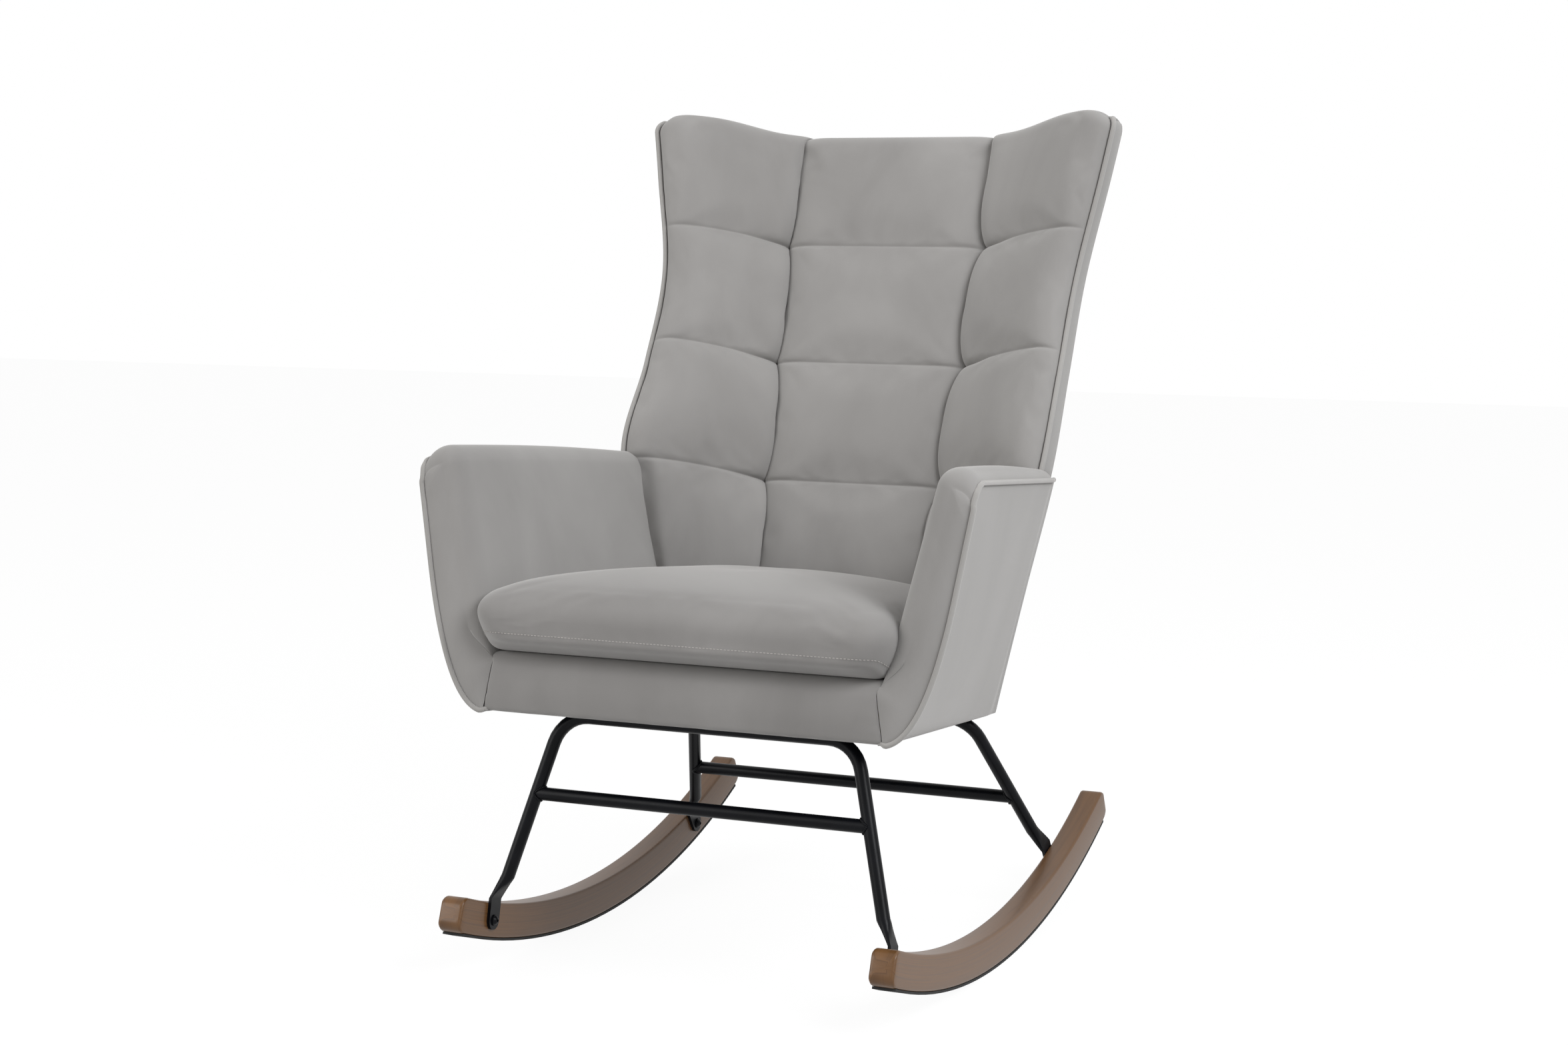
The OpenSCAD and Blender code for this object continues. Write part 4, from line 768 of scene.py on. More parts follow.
def build_outer_back():
    end = quilt_grid()[0][-2]
    end = end[(end[:, 0] > CENTRE_TOP_HALF + 6) | (np.abs(end[:, 0]) < CENTRE_TOP_HALF - 20)]
    widest = np.abs(outer_back_line(BACK_TOP)[:, 0])
    lip = np.interp(widest, end[:, 0], end[:, 2]) - LIP_R + 0.5
    levels = [(mix(COVER_BOTTOM, lip, t), 0) for t in np.linspace(0, 1, 90)]
    levels += [(lip + LIP_R * math.sin(a), LIP_R * (1 - math.cos(a))) for a in np.radians([30, 60, 90])]
    rows = []
    for z, inward in levels:
        line = np.array([outer_back_line(h)[i] for i, h in enumerate(z)])
        rows.append(np.column_stack([line - normals_2d(line) * inward, z]))
    half = np.array(rows)
    whole = np.concatenate([half, mirrored(half)[:, 1:]], axis=1)
    return finish_mesh(sheet_piece("outer_back", whole, VELVET), SMOOTHED, cloth_shell(COVER_T))


def normals_2d(line):
    """Outward normals of an outline seen from above."""
    step = np.gradient(line[:, :2], axis=0)
    n = np.stack([step[:, 1], -step[:, 0]], -1)
    return n / np.maximum(np.linalg.norm(n, axis=1, keepdims=True), 1e-9)


# ---------- the arms ----------
EDGE_ROUND, RAIL_EDGE, DART = 24, 20, 0.7
ROLL_TURN = 0.58  # share of the roll past which its front edge rounds over downwards
REACH_STEPS = 6  # steps that find where a leaning arm meets the leaning back


def roll_centre(gap_half, r):
    touch = ARM_TOP - r + r * math.sin(ARM_INNER_LEAN)
    face = gap_half + (touch - DECK) * math.tan(ARM_INNER_LEAN)
    return np.array([face + r * math.cos(ARM_INNER_LEAN), ARM_TOP - r])


def on_roll(centre, r, angle):
    a = np.radians(angle)
    return np.stack([centre[0] + r * np.cos(a), centre[1] + r * np.sin(a)], -1)


FRONT_ROLL = roll_centre(ARM_GAP_HALF, ARM_ROLL_FRONT)
REAR_ROLL = roll_centre(ARM_GAP_HALF - ARM_TOE_IN, ARM_ROLL_REAR)
FRONT_CORNER = on_roll(FRONT_ROLL, ARM_ROLL_FRONT, ROLL_TO)
REAR_CORNER = on_roll(REAR_ROLL, ARM_ROLL_REAR, ROLL_TO)
KNEE, CURVE_END = 307, 465
SEAM_ROWS, LEAN_ROWS, ROLL_ROWS = 12, 18, 20


def outer_straight(z):
    return np.stack([FRONT_CORNER[0] - (FRONT_CORNER[1] - z) * math.tan(ARM_OUTER_LEAN), z], -1)


def outer_line(t):
    """Outer outline of the arm's front, from the underside at 0 to the top corner at 1."""
    t = np.asarray(t, float)
    bend = np.clip(t / 0.45, 0, 1)[..., None]
    first = np.array([SEAM_BOTTOM_HALF + 2, COVER_BOTTOM])
    knee, end = outer_straight(np.array(KNEE)), outer_straight(np.array(CURVE_END))
    curved = mix(mix(first, knee, bend), mix(knee, end, bend), bend)
    straight = outer_straight(mix(CURVE_END, FRONT_CORNER[1], np.clip((t - 0.45) / 0.55, 0, 1)))
    return np.where(t[..., None] < 0.45, curved, straight)


def outer_line_rear(front):
    t = (front[..., 1] - COVER_BOTTOM) / (FRONT_CORNER[1] - COVER_BOTTOM)
    return np.stack([mix(SEAT_REAR_HALF, REAR_CORNER[0], t), mix(COVER_BOTTOM, REAR_CORNER[1], t)], -1)


def inner_line(gap_half, centre, r):
    """Section of the arm's inner face and rolled top, from the deck up."""
    top = centre[1] + r * math.sin(ARM_INNER_LEAN)
    z = mix(DECK - 6, top, np.linspace(0, 1, LEAN_ROWS))
    face = np.stack([gap_half + (z - DECK) * math.tan(ARM_INNER_LEAN), z], -1)
    arc = on_roll(centre, r, np.linspace(180 - math.degrees(ARM_INNER_LEAN), ROLL_TO + 4, ROLL_ROWS + 1)[1:])
    return np.concatenate([face, arc])


def depth_share(y):
    return (y + SEAT_FRONT) / (REAR_Y + SEAT_FRONT)


def front_drop(y):
    """How far the arm's edge rounds over towards its front."""
    return fallen(EDGE_ROUND, 1 - np.clip((y + SEAT_FRONT) / EDGE_ROUND, 0, 1))


def rail_drop(z):
    """How far the seat's front rounds back at a height below its top edge."""
    return fallen(RAIL_EDGE, np.clip((z - DECK + RAIL_EDGE) / RAIL_EDGE, 0, 1))


def seam_drop(z):
    """The same along the arm, where it fades out above the deck."""
    z = np.asarray(z, float)
    return rail_drop(np.minimum(z, DECK - 6)) * ease((DECK + 26 - z) / 32)


def inner_shift():
    """Direction in which each point of the arm's inner line rounds over at the front."""
    line = inner_line(ARM_GAP_HALF, FRONT_ROLL, ARM_ROLL_FRONT)
    step = np.gradient(line, axis=0)
    n = np.stack([step[:, 1], -step[:, 0]], -1)
    n /= np.linalg.norm(n, axis=1, keepdims=True)
    past_top = np.arange(len(line)) > LEAN_ROWS + ROLL_ROWS * ROLL_TURN
    n[past_top] = (-math.tan(ARM_OUTER_LEAN), -1)
    return n * ease((line[:, 1:] - DECK + 10) / 40)


def on_top():
    """Share of the dart's depth at each point of the arm's inner line: only over its top."""
    return ease((np.arange(LEAN_ROWS + ROLL_ROWS) - LEAN_ROWS - 2) / 6)


def wing_plane_y(x, z):
    """Depth of the wing's seams at a place across the chair."""
    return seam_y(z) - (np.minimum(x, edge_x(z)) - valley_x(z)) * wing_slope(z)


def arm_rows(reach, round_rows, rows, swell):
    """Places along the arm, row by row, from its front edge to its reach, and its swelling there."""
    near = -SEAT_FRONT + EDGE_ROUND * (1 - np.cos(np.radians(np.linspace(0, 90, round_rows))))
    run = np.linspace(0, 1, rows)[1:, None]
    y = np.concatenate([near[:, None] * np.ones(len(reach)), mix(-SEAT_FRONT + EDGE_ROUND, reach, run)])
    t = np.concatenate([np.zeros(len(near)), run[:, 0]])[:, None]
    return y, swell * np.sin(np.pi * t) * np.sin(np.pi * np.linspace(0, 1, len(reach)))


def arm_side_grid():
    """Inner face of the left arm and its rolled top, from the front edge back into the wing."""
    front = inner_line(ARM_GAP_HALF, FRONT_ROLL, ARM_ROLL_FRONT)
    rear = inner_line(ARM_GAP_HALF - ARM_TOE_IN, REAR_ROLL, ARM_ROLL_REAR)
    reach = np.full(len(front), 150.0)
    for _ in range(REACH_STEPS):
        p = mix(front, rear, depth_share(reach)[:, None])
        reach = wing_plane_y(p[:, 0], p[:, 1]) - 2
    y, swell = arm_rows(reach, 8, 44, 4)
    p = mix(front, rear, depth_share(y)[..., None]) - inner_shift() * (swell - front_drop(y))[..., None]
    y = y + seam_drop(front[:, 1]) * (1 - ease(np.arange(len(y)) / 8))[:, None]
    y[0] += DART * on_top()
    return np.stack([p[..., 0], y, p[..., 1]], -1)


def front_seam_x(z):
    """Where the seam between the seat's front and an arm lies."""
    return mix(SEAM_BOTTOM_HALF, SEAM_TOP_HALF, (z - SEAT_BOTTOM) / (DECK - SEAT_BOTTOM))


def near_top(z):
    """1 at the arm's top edge, fading out below it."""
    return ease((z - ARM_TOP + 90) / 75)


def arm_front_grid():
    """Front of the left arm, from its seam with the seat and its inner edge out to the piping."""
    seam_z = np.linspace(COVER_BOTTOM, DECK - 8, SEAM_ROWS)
    inner = inner_line(ARM_GAP_HALF, FRONT_ROLL, ARM_ROLL_FRONT) + inner_shift() * EDGE_ROUND
    left = np.concatenate([np.stack([front_seam_x(seam_z) + 0.6, seam_z], -1), inner])
    parts = ((0, 0.2, SEAM_ROWS), (0.215, 0.86, LEAN_ROWS), (0.87, 1, ROLL_ROWS))
    t = np.concatenate([np.linspace(*part) for part in parts])
    right = outer_line(t)
    drop = EDGE_ROUND * near_top(right[:, 1])
    right -= np.stack([drop * math.tan(ARM_OUTER_LEAN), drop], -1)
    rows = []
    for c in spread(14, 0.5):
        p = mix(left, right, c)
        y = -SEAT_FRONT - 6 * math.sin(math.pi * c) * np.clip(np.linalg.norm(right - left, axis=1) / 60, 0, 1)
        y = y + seam_drop(left[:, 1]) * (1 - c) ** 2
        if c == 0:
            y[SEAM_ROWS:] += DART * on_top()
        rows.append(np.stack([p[:, 0], y, p[:, 1]], -1))
    return np.array(rows)


def build_arm(name, side):
    grids = [g if side > 0 else mirrored(g) for g in (arm_side_grid(), arm_front_grid())]
    piece = join(name, [sheet_piece(name, grid, VELVET) for grid in grids])
    whole = bmesh.new()
    whole.from_mesh(piece.data)
    bmesh.ops.remove_doubles(whole, verts=whole.verts, dist=0.4 * MM)
    bmesh.ops.recalc_face_normals(whole, faces=whole.faces)
    centre = Vector(at_rest((side * (ARM_GAP_HALF + 60), 0, ARM_TOP - 60)))
    if sum((face.calc_center_median() - centre).dot(face.normal) for face in whole.faces) < 0:
        bmesh.ops.reverse_faces(whole, faces=whole.faces)
    for face in whole.faces:
        face.smooth = True
    whole.to_mesh(piece.data)
    whole.free()
    return finish_mesh(piece, SMOOTHED, cloth_shell(COVER_T))


def outer_panel_grid():
    """Outer side of the left arm, from the piping back to the rear corner of the back."""
    front = outer_line(np.linspace(0, 1, 46))
    rear = outer_line_rear(front)
    reach = np.full(len(front), 200.0)
    for _ in range(REACH_STEPS):
        z = mix(front[:, 1], rear[:, 1], depth_share(reach))
        reach = rear_plane_y(edge_x(z), z) - 5
    y, swell = arm_rows(reach, 7, 50, 3.5)
    p = mix(front, rear, depth_share(y)[..., None])
    z = p[..., 1]
    wing_front = wing_plane_y(1000.0, z)
    join_share = ease((y - wing_front + 10) / (reach - wing_front + 10))
    x = mix(p[..., 0] + swell, edge_x(z) + 3, join_share)
    drop = front_drop(y) * near_top(z)
    return np.stack([x - drop * math.tan(ARM_OUTER_LEAN), y, z - drop], -1)


def build_outer_panel(name, side):
    grid = outer_panel_grid()
    tuck = grid[:, :1].copy()
    tuck[..., 0] -= 7
    tuck[..., 2] -= 0.6
    grid = np.concatenate([tuck, grid], axis=1)
    turned = [grid[-1:] + np.array([x, 1.2, 0]) for x in (-2, -14)]
    grid = np.concatenate([grid, *turned])
    piece = sheet_piece(name, grid if side > 0 else mirrored(grid), VELVET, flip=True)
    return finish_mesh(piece, SMOOTHED, cloth_shell(COVER_T))


def arm_piping_path():
    """Up the arm's front edge, round its top corner and back along the top to the rear of the back."""
    out = PIPING_R * 0.75
    front = outer_line(np.linspace(0, 1, 60))
    lean = np.array([math.cos(ARM_OUTER_LEAN), -math.sin(ARM_OUTER_LEAN)])
    up = front[front[:, 1] < FRONT_CORNER[1] - EDGE_ROUND]
    path = [(SEAM_BOTTOM_HALF - 6, -SEAT_FRONT + 7, COVER_BOTTOM + 4)]
    path += [(x + out * lean[0], -SEAT_FRONT - 0.35 * out, z + out * lean[1]) for x, z in up]
    top_edge = outer_panel_grid()[::2, -1]
    return np.concatenate([path, top_edge + np.array([0.4, -0.2, 0.8]) * out])


def flipped(path):
    return np.asarray(path) * (-1, 1, 1)


# ---------- the seat ----------
def front_cover_grid():
    """Padded cover of the seat's front rail: from the deck over its edge and down, then under."""
    profile = [(y, DECK) for y in np.linspace(-SEAT_FRONT + 44, -SEAT_FRONT + RAIL_EDGE, 7)[:-1]]
    profile += [(-SEAT_FRONT + RAIL_EDGE - RAIL_EDGE * math.sin(a), DECK - RAIL_EDGE + RAIL_EDGE * math.cos(a))
                for a in np.radians(np.linspace(0, 90, 12))]
    profile += [(-SEAT_FRONT, z) for z in np.linspace(DECK - RAIL_EDGE, COVER_BOTTOM + 5, 14)[1:]]
    profile += [(-SEAT_FRONT + 5 - 5 * math.cos(a), COVER_BOTTOM + 5 - 5 * math.sin(a))
                for a in np.radians(np.linspace(0, 90, 5))[1:]]
    profile = np.array(profile + [(-SEAT_FRONT + 14, COVER_BOTTOM)])
    y, z = profile[:, :1], profile[:, 1:]
    across = np.linspace(-1, 1, 90)[None, :]
    half = front_seam_x(z) + 7 * ease((z - DECK + 14) / 12)
    x = across * half
    from_side = (1 - np.abs(across)) * half
    on_face = ease((DECK - z) / 16)
    height = np.clip((DECK - z) / (DECK - COVER_BOTTOM), 0, 1)
    belly = 7 * np.sin(np.pi * height) * shoulder(from_side, 60) * on_face
    hem = puckers(x, z - COVER_BOTTOM, 2.0, seed=11, wavelength=46, reach=18) * on_face
    side = puckers(z, from_side, 0.8, seed=12, wavelength=22, reach=14) * on_face
    return grid_of(x, y - belly - hem - side, z)


def build_front_cover():
    piece = sheet_piece("front_rail_cover", front_cover_grid(), SHADED_SEAT_VELVET, flip=True)
    return finish_mesh(piece, SMOOTHED, cloth_shell(COVER_T))


def arm_inner_x(y, z):
    return ARM_GAP_HALF - ARM_TOE_IN * depth_share(y) + (z - DECK) * math.tan(ARM_INNER_LEAN)


DECK_SEAM = 96


def build_deck():
    """Cloth-covered deck under the cushion, with a sewn seam across it."""
    y = np.linspace(-SEAT_FRONT + 43, seam_y(DECK) - 4, 60)[:, None]
    across = np.linspace(-1, 1, 61)[None, :]
    x = across * (arm_inner_x(y, DECK) - 3)
    from_seam = y + SEAT_FRONT - DECK_SEAM
    seam = 1.6 * np.exp(-(from_seam / 2.2) ** 2)
    sides = 6 * np.exp(-(1 - np.abs(across)) * 24)
    z = DECK - 0.4 - seam + 0.5 * puckers(x, np.abs(from_seam), 1.0, seed=21) - sides
    return finish_mesh(sheet_piece("deck_cover", grid_of(x, y, z), VELVET), cloth_shell(2.0))


def cushion_half_width(y, z):
    past_arms = 6 * ease((-SEAT_FRONT + 24 - y) / 45)
    return arm_inner_x(np.clip(y, -SEAT_FRONT, REAR_Y), z) - CUSHION_GAP + past_arms


CUSHION_FRONT = -SEAT_FRONT - CUSHION_OVERHANG
CUSHION_REAR = seam_y(DECK + CUSHION_EDGE_T / 2) - PILLOW_H - 2 * CUSHION_GAP
CUSHION_BOTTOM = DECK + CUSHION_GAP
CUSHION_POINTS, POINT_STEP = 180, 10.0
CUSHION_FRONT_R, CUSHION_REAR_R, CROWN_MORE = 36, 114, 13


def cushion_outline(z, inset):
    """Evenly spaced outline of the cushion at a height, drawn in by an inset."""
    front, rear = CUSHION_FRONT + inset, CUSHION_REAR - inset
    fr, rr = max(CUSHION_FRONT_R - 0.4 * inset, 5), max(CUSHION_REAR_R - 0.5 * inset, 8)
    quarter = np.radians(np.linspace(0, 90, 13))
    front_x = cushion_half_width(front, z) - inset - fr
    rear_x = cushion_half_width(rear - rr, z) - inset - rr
    right = [(0.0, front)]
    right += [(front_x + fr * math.sin(a), front + fr - fr * math.cos(a)) for a in quarter]
    right += [(rear_x + rr * math.cos(a), rear - rr + rr * math.sin(a)) for a in quarter]
    right += [(0.0, rear)]
    line = np.array(right + [(-x, y) for x, y in right[-2:0:-1]] + [right[0]])
    length = np.concatenate([[0], np.cumsum(np.linalg.norm(np.diff(line, axis=0), axis=1))])
    at = np.linspace(0, length[-1], CUSHION_POINTS + 1)[:-1]
    return grid_of(np.interp(at, length, line[:, 0]), np.interp(at, length, line[:, 1]), float(z))


CUSHION_SEAM = CUSHION_BOTTOM + 9
UNDERCUT, TOP_EDGE_R, BULGE, FRONT_LIFT = 15, 38, 3.0, 11


def overhang(y):
    """1 where the cushion hangs over the seat's front, 0 further back."""
    return ease((-SEAT_FRONT + 12 - y) / 30)


def cushion_rings():
    """Rings of the cushion from the middle of its underside round its edge to the top's middle."""
    edge_top = CUSHION_BOTTOM + CUSHION_EDGE_T
    low = cushion_outline(CUSHION_BOTTOM, UNDERCUT + 4)
    centre = np.array([0, low[:, 1].mean(), CUSHION_BOTTOM])
    rings = [mix(centre, low, k) for k in np.linspace(0.05, 1, 18)]
    for a in np.radians(np.linspace(0, 90, 6))[1:]:
        height = (CUSHION_SEAM - CUSHION_BOTTOM) * (1 - math.cos(a))
        rings.append(cushion_outline(CUSHION_BOTTOM + height, 2 + UNDERCUT * (1 - math.sin(a))))
    side_top = edge_top - TOP_EDGE_R
    for t in np.linspace(0.06, 1, 12):
        inset = 2 - (2 + BULGE) * math.sin(t * math.pi / 2)
        rings.append(cushion_outline(mix(CUSHION_SEAM, side_top, t), inset))
    for a in np.radians(np.linspace(0, 76, 12))[1:]:
        inset = TOP_EDGE_R * (1 - math.cos(a)) - BULGE
        rings.append(cushion_outline(side_top + TOP_EDGE_R * math.sin(a), inset))
    last = rings[-1]
    crown = CUSHION_BOTTOM + CUSHION_T + CROWN_MORE
    centre = np.array([0, last[:, 1].mean(), 0])
    for k in np.linspace(1, 0.04, 26)[1:]:
        ring = mix(centre, last, k)
        ring[:, 2] = mix(last[:, 2], crown, (1 - k * k) ** 0.8)
        rings.append(ring)
    rings = np.array(rings)
    rings[..., 2] += FRONT_LIFT * overhang(rings[..., 1]) * ease((edge_top - rings[..., 2]) / CUSHION_EDGE_T)
    return rings


def ring_solid(name, rings, material):
    """Closed solid from rings of equal length, with a point in the middle of each end."""
    rows, cols = rings.shape[:2]
    points = np.concatenate([rings.reshape(-1, 3), rings[:1].mean(axis=1), rings[-1:].mean(axis=1)])
    faces = grid_faces(rows, cols, wrap=True)
    low, high = rows * cols, rows * cols + 1
    faces += [((i + 1) % cols, i, low) for i in range(cols)]
    faces += [((rows - 1) * cols + i, (rows - 1) * cols + (i + 1) % cols, high) for i in range(cols)]
    return mesh_piece(name, at_rest(points), faces, material)


def build_core():
    """Foam core, a little smaller than the cover round it."""
    rings = cushion_rings()
    centre = rings.reshape(-1, 3).mean(axis=0)
    return ring_solid("foam_core", centre + (rings - centre) * (0.975, 0.975, 0.84), FOAM)


def build_cushion():
    rings = cushion_rings()
    z = rings[..., 2]
    near_seam = np.exp(-((z - CUSHION_SEAM) / 1.6) ** 2)
    out = rings - rings.mean(axis=1, keepdims=True)
    out[..., 2] = 0
    out /= np.maximum(np.linalg.norm(out, axis=-1, keepdims=True), 1e-6)
    along = np.arange(CUSHION_POINTS) * POINT_STEP
    ripple = puckers(along, np.abs(z - CUSHION_SEAM), 1.0, seed=31, wavelength=40, reach=16)
    side = ease((z - CUSHION_BOTTOM) / 6) * ease((CUSHION_BOTTOM + CUSHION_EDGE_T - z) / 30)
    rings = rings + out * (-1.8 * near_seam + ripple * side)[..., None]
    piece = ring_solid("seat_cushion", rings, SHADED_SEAT_VELVET)
    free = np.ones(z.shape)
    free[z < CUSHION_SEAM + FRONT_LIFT] = 0
    rear_edge = ease((rings[..., 1] - CUSHION_REAR + 60) / 60) * (z < CUSHION_BOTTOM + 60)
    free = np.append(mix(free, 0, rear_edge).ravel(), [0, 1])
    inflate(piece, free, pressure=2.5, frames=12, cap=5, shrink=-0.008)
    return finish_mesh(piece, SMOOTHED)


def cushion_stitches():
    """Path of the topstitch above the cushion's lower seam, round its front and sides."""
    ring = cushion_outline(CUSHION_SEAM + 5, 0.2)
    ring[:, 2] += FRONT_LIFT * 0.86 * overhang(ring[:, 1])
    return ring


# ---------- hardwood rockers ----------
EASE_POINTS, GRAIN_STEP = 6, 0.011


def rocker_rings(side):
    """Sections of a rocker along its arc, its ends rounded, and their place along the grain."""
    start, end = -math.radians(ROCKER_FRONT), math.radians(ROCKER_REAR)
    mean_r = ROCKER_RADIUS - ROCKER_DEPTH / 2
    length = (end - start) * mean_r
    t = np.concatenate([ROCKER_END_R * (1 - np.cos(np.linspace(0, np.pi / 2, 14))),
                        np.linspace(ROCKER_END_R, length - ROCKER_END_R, 130)[1:-1],
                        length - ROCKER_END_R * (1 - np.cos(np.linspace(np.pi / 2, 0, 14)))])
    middle = side * (ROCKER_GAP / 2 + ROCKER_WIDTH / 2)
    corners = ((1, 1), (-1, 1), (-1, -1), (1, -1))
    rings, grain = [], []
    for s in t:
        from_end = min(s, length - s)
        loss = fallen(ROCKER_END_R, 1 - min(1, from_end / ROCKER_END_R))
        thin = fallen(ROCKER_EASE, 1 - min(1, from_end / ROCKER_EASE))
        half_w, half_d = ROCKER_WIDTH / 2 - thin, ROCKER_DEPTH / 2 - loss
        angle = start + s / mean_r
        ring = []
        for k, (sx, sd) in enumerate(corners):
            for a in np.radians(np.linspace(0, 90, EASE_POINTS)) + k * math.pi / 2:
                w = sx * (half_w - ROCKER_EASE) + ROCKER_EASE * math.cos(a)
                r = mean_r + (sd * (half_d - ROCKER_EASE) + ROCKER_EASE * math.sin(a))
                ring.append((middle + w, r * math.sin(angle), CENTRE_Z - r * math.cos(angle)))
        rings.append(ring)
        grain.append([(s * MM, k * GRAIN_STEP) for k in range(4 * EASE_POINTS)])
    return np.array(rings), np.array(grain)


def build_rocker(name, side):
    rings, grain = rocker_rings(side)
    piece = ring_solid(name, rings, WALNUT)
    uv = np.concatenate([grain.reshape(-1, 2), grain[:1].mean(axis=1), grain[-1:].mean(axis=1)])
    layer = piece.data.uv_layers.new(name="grain")
    corners = np.empty(len(piece.data.loops), dtype=int)
    piece.data.loops.foreach_get("vertex_index", corners)
    layer.data.foreach_set("uv", uv[corners].ravel())
    outward(piece)
    return piece


def outward(piece):
    """Turns a closed piece's faces outwards."""
    whole = bmesh.new()
    whole.from_mesh(piece.data)
    bmesh.ops.recalc_face_normals(whole, faces=whole.faces)
    whole.to_mesh(piece.data)
    whole.free()


# ---------- the last pieces ----------
def wing_piping_path():
    """Up the wing's front edge and over its tip, where it ends in the seam behind."""
    top = top_z(1.0)
    z = np.concatenate([np.linspace(ARM_TOP - 30, top - TOP_ROUND, 60),
                        top - TOP_ROUND * np.cos(np.linspace(0.2, 1.45, 8))])
    path = np.array([(edge_x(h) - tip_in(h) - 0.8, edge_y(h) - 1.2, h) for h in z])
    tail = path[-1] + np.array([(-1, 10, 0.5), (-4, 20, -2), (-9, 24, -8)])
    return np.concatenate([path, tail])


def frame_half(y):
    """Half the seat frame's width on its underside."""
    return mix(SEAM_BOTTOM_HALF, SEAT_REAR_HALF - 14, depth_share(y))


def build_dust_cloth():
    """Black cloth stapled under the seat frame, sagging a little between its edges."""
    front, rear = -SEAT_FRONT + 14, seam_y(SEAT_BOTTOM) + BACK_DEPTH - 9
    y = np.linspace(front, rear, 44)[:, None]
    across = np.linspace(-1, 1, 45)[None, :]
    x = across * ((frame_half(y) - 9) * mix(0.86, 1, shoulder(rear - y, 60)))
    sag = 1.6 * np.sin(np.pi * (y - front) / (rear - front)) * (1 - across ** 2)
    gathers = 0.4 * puckers(x, np.minimum(y - front, rear - y), 1.0, seed=41, wavelength=24)
    z = SEAT_BOTTOM - 1.1 - sag + gathers
    return finish_mesh(sheet_piece("dust_cloth", grid_of(x, y, z), DUST_CLOTH), cloth_shell(0.7))


STAPLE_PITCH, STAPLE_HALF = 42, 5


def staple_paths():
    """Short lines for the staples round the dust cloth's edge."""
    front, rear = -SEAT_FRONT + 18, seam_y(SEAT_BOTTOM) + BACK_DEPTH - 14
    z = SEAT_BOTTOM - 2
    paths = []
    for y in np.arange(front + 20, rear - 30, STAPLE_PITCH):
        x = frame_half(y) - 14
        paths += [[(side * x, y - STAPLE_HALF, z), (side * x, y + STAPLE_HALF, z)] for side in (-1, 1)]
    for x in np.arange(-210, 211, STAPLE_PITCH):
        paths.append([(x - STAPLE_HALF, front, z), (x + STAPLE_HALF, front, z)])
    return paths


def foot_point(angle):
    r = ROCKER_RADIUS - ROCKER_DEPTH / 2
    a = math.radians(angle)
    return np.array([ROCKER_GAP / 2 - 2, r * math.sin(a), CENTRE_Z - r * math.cos(a)])


RUN_Z = SEAT_BOTTOM - 0.8 - TUBE_R
# Half width, place of the run across the seat, angle of the foot and height of the stretcher.
LEG_FRAMES = [(189.0, -149.0, -10.7, 195.0), (192.0, 214.0, 22.3, 184.0)]
SHARP_EDGE = 32


def weld_paths():
    """Closed lines where each stretcher's end meets the leg."""
    paths = []
    for half, run_y, angle, height in LEG_FRAMES:
        corner, foot = np.array([half, run_y, RUN_Z]), foot_point(angle)
        leg = (foot - corner) / np.linalg.norm(foot - corner)
        middle = mix(corner, foot, (RUN_Z - height) / (RUN_Z - foot[2]))
        ring = []
        for a in np.radians(np.arange(0, 360, 10)):
            p = middle + (TUBE_R + 0.4) * np.array([0, math.cos(a), math.sin(a)])
            off, step = p - middle, np.array([-1.0, 0, 0])
            flat_off, flat_step = off - leg * (off @ leg), step - leg * (step @ leg)
            b, c = flat_off @ flat_step, flat_off @ flat_off - (TUBE_R + 0.4) ** 2
            aa = flat_step @ flat_step
            root = (-b + math.sqrt(max(0, b * b - aa * c))) / aa
            ring.append(p + step * root)
        paths += [np.array(ring), flipped(ring)]
    return paths


def smooth_cad(node, weld_tree):
    """Shades a plain solid's round faces smoothly without touching its mesh."""
    node.modifiers.new("merged", "WELD").merge_threshold = 0.02 * MM
    node.modifiers.new("shading", "NODES").node_group = weld_tree


def shading_tree():
    """Smooth shading, except at sharp edges."""
    tree, start, end = node_tree("smooth_by_angle", [])
    smooth = "GeometryNodeSetShadeSmooth"
    faces = wired(tree, smooth, {"Geometry": start["Geometry"]})
    angle = wired(tree, "GeometryNodeInputMeshEdgeAngle", {})
    sharp = wired(tree, "FunctionNodeCompare", {
        0: angle.outputs["Unsigned Angle"], 1: math.radians(SHARP_EDGE)}, operation="GREATER_THAN")
    edges = wired(tree, smooth, {
        "Geometry": faces.outputs["Geometry"], "Selection": sharp.outputs["Result"], "Shade Smooth": False},
        domain="EDGE")
    tree.links.new(edges.outputs["Geometry"], end["Geometry"])
    return tree


# ---------- putting the chair together ----------
CAD_FINISHES = (
    (RUBBER, "rocker_strip"), (WALNUT, "rocker"),
    (STEEL, "front_leg rear_leg front_stretcher rear_stretcher mounting_plates foot_bolts"),
    (ZINC, "foot_inserts mounting_bolts mounting_tnuts back_bolts back_tnuts"),
    (WEBBING, "seat_webbing back_webbing"), (DUST_CLOTH, "dust_cover"), (FOAM, "cushion_foam"),
    (PLYWOOD, "arm_board back_board wing_board"),
    (TIMBER, "corner_blocks mounting_battens seat_front_rail seat_rear_rail seat_side_rail"),
    (LIT_WELT_VELVET, "arm_piping wing_piping"),
    (VELVET, "arm_pad arm_outer front_rail_pad seat_deck back_pad wing_pad back_cover cushion_cover"))
ROUND_METAL = ("front_leg_frame", "rear_leg_frame", "front_stretcher", "rear_stretcher", "foot_bolts",
               "mounting_bolts", "foot_inserts", "mounting_tnuts", "back_bolts", "back_tnuts")


def finish_cad():
    tree = shading_tree()
    for name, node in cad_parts.items():
        finish = next(m for m, prefixes in CAD_FINISHES if name.startswith(tuple(prefixes.split())))
        node.data.materials.clear()
        node.data.materials.append(finish)
        if name in ROUND_METAL:
            smooth_cad(node, tree)


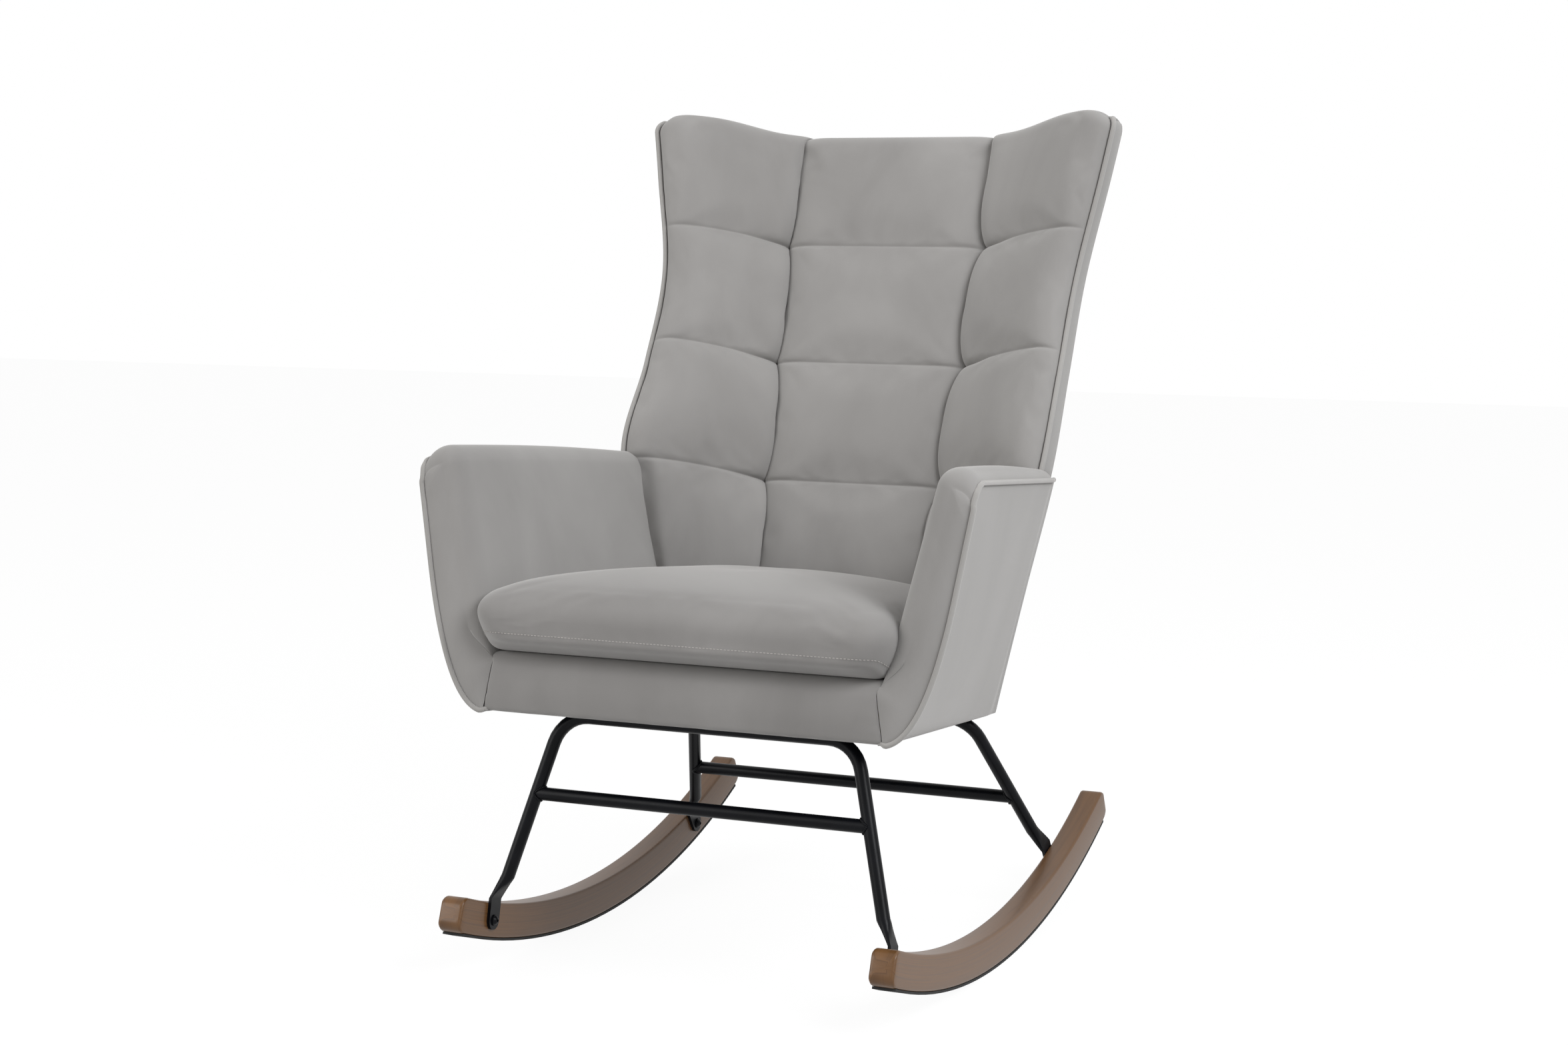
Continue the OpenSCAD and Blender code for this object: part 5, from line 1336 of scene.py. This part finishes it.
def add(piece, body, slot, *nodes):
    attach(piece, body)
    if nodes:
        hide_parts(*nodes)
    return piece


def build_chair():
    finish_cad()
    cord = cord_tree("welt_cord", LIT_WELT_VELVET, 10)
    quilt = add(build_quilt(), "chair", "velvet", "back_pad", "wing_pad_left", "wing_pad_right")
    back = add(build_outer_back(), "chair", "velvet", "back_cover")
    for side, word in ((1, "left"), (-1, "right")):
        arm = add(build_arm(f"arm_cover_{word}", side), "chair", "velvet", f"arm_pad_{word}")
        panel = build_outer_panel(f"outer_panel_{word}", side)
        add(panel, "chair", "velvet", f"arm_outer_panel_{word}")
        turn = (lambda p: p) if side > 0 else flipped
        sizes = {"Cord radius": PIPING_R, "Point spacing": 3}
        for edge, path in (("arm", arm_piping_path()), ("wing", wing_piping_path())):
            welt = along_curves(f"{edge}_welt_{word}", [turn(path)], cord, sizes)
            add(welt, "chair", "velvet", f"{edge}_piping_{word}")
        add(build_rocker(f"shaped_rocker_{word}", side), "chair", "stained_hardwood", f"rocker_{word}")
    front = add(build_front_cover(), "chair", "velvet", "front_rail_pad")
    deck = add(build_deck(), "chair", "velvet", "seat_deck")
    cloth = add(build_dust_cloth(), "chair", "webbing_cloth", "dust_cover")
    staples = along_curves("staples", staple_paths(), cord_tree("staple_wire", ZINC, 6),
                           {"Cord radius": 0.6, "Point spacing": 5})
    add(staples, "chair", "zinc_fastener")
    welds = along_curves("stretcher_welds", weld_paths(), beads_tree("weld_bead", STEEL, 1.0, 0.75),
                         {"Bead radius": 1.7, "Bead pitch": 1.9}, closed=True)
    add(welds, "chair", "coated_steel")
    cushion = add(build_cushion(), "cushion", "velvet", "cushion_cover")
    core = add(build_core(), "cushion", "foam", "cushion_foam")
    stitch = beads_tree("topstitch", THREAD, 0.55, 2.2)
    stitches = along_curves("cushion_topstitch", [cushion_stitches()], stitch,
                            {"Bead radius": 0.75, "Bead pitch": 4.4}, closed=True)
    add(stitches, "cushion", "velvet")


# ---------- floor, light and camera ----------
def seen_directly(tree):
    """1 for what the camera sees, also in metal and through glass, and 0 for light on the chair."""
    rays = wired(tree, "ShaderNodeLightPath", {}).outputs
    last = rays["Is Camera Ray"]
    for kind in ("Is Glossy Ray", "Is Transmission Ray"):
        last = wired(tree, "ShaderNodeMath", {0: last, 1: rays[kind]}, operation="MAXIMUM").outputs[0]
    return last


def two_shaders(tree, factor, first, second, end):
    """Mixes two shaders and ends the tree with the result."""
    both = wired(tree, "ShaderNodeMixShader", {"Fac": factor, 1: first.outputs[0], 2: second.outputs[0]})
    wired(tree, end, {"Surface": both.outputs[0]})


def stage_material(name, strength):
    """White for the camera and in reflections, with only part of the chair's shadow on it."""
    material = bpy.data.materials.new(name)
    material.use_nodes = True
    tree = material.node_tree
    tree.nodes.clear()
    shown = wired(tree, "ShaderNodeMath", {0: seen_directly(tree), 1: strength}, operation="MULTIPLY")
    paint = wired(tree, "ShaderNodeBsdfDiffuse", {"Color": (0.6, 0.6, 0.6, 1)})
    glow = wired(tree, "ShaderNodeEmission", {"Strength": 1.1})
    two_shaders(tree, shown.outputs[0], paint, glow, "ShaderNodeOutputMaterial")
    return material


def area_light(name, place, target, size, power, tint=(1, 1, 1)):
    lamp = bpy.data.lights.new(name, "AREA")
    lamp.shape = "DISK"
    lamp.size = size
    lamp.energy = power
    lamp.color = tint
    obj = bpy.data.objects.new(name, lamp)
    obj.location = place
    obj.rotation_euler = (Vector(target) - Vector(place)).to_track_quat("-Z", "Y").to_euler()
    bpy.context.scene.collection.objects.link(obj)


def build_world(ambient):
    """Soft even light, seen as plain white by the camera and in reflections."""
    world = bpy.data.worlds.new("studio")
    bpy.context.scene.world = world
    world.use_nodes = True
    tree = world.node_tree
    tree.nodes.clear()
    dim, white = [wired(tree, "ShaderNodeBackground", {"Color": (1, 1, 1, 1), "Strength": strength})
                  for strength in (ambient, 1.0)]
    two_shaders(tree, seen_directly(tree), dim, white, "ShaderNodeOutputWorld")


def build_stage():
    bpy.context.scene.view_settings.view_transform = "Standard"
    floor = mesh_piece("floor", [(-9, -9, 0), (9, -9, 0), (9, 9, 0), (-9, 9, 0)], [(0, 1, 2, 3)],
                       stage_material("pale_floor", 0.85))
    build_world(0.46)
    middle = (0, 0, 0.6)
    area_light("key", (2.6, -1.2, 2.3), middle, 1.8, 80, (0.97, 0.98, 1.0))
    area_light("fill", (-2.4, -2.6, 1.6), middle, 2.4, 56, (1.0, 0.985, 0.97))
    area_light("top", (0.2, 0.4, 3.4), middle, 2.2, 16)
    camera = bpy.data.cameras.new("camera")
    camera.lens = 62.2
    camera.sensor_width = 36
    view = bpy.data.objects.new("camera", camera)
    view.location = (1.3427, -3.0198 - CENTRE_Y * MM, 0.9299)
    view.rotation_euler = (math.radians(90 - 6.99), 0, math.radians(23.98))
    bpy.context.scene.collection.objects.link(view)
    bpy.context.scene.camera = view


build_chair()
build_stage()
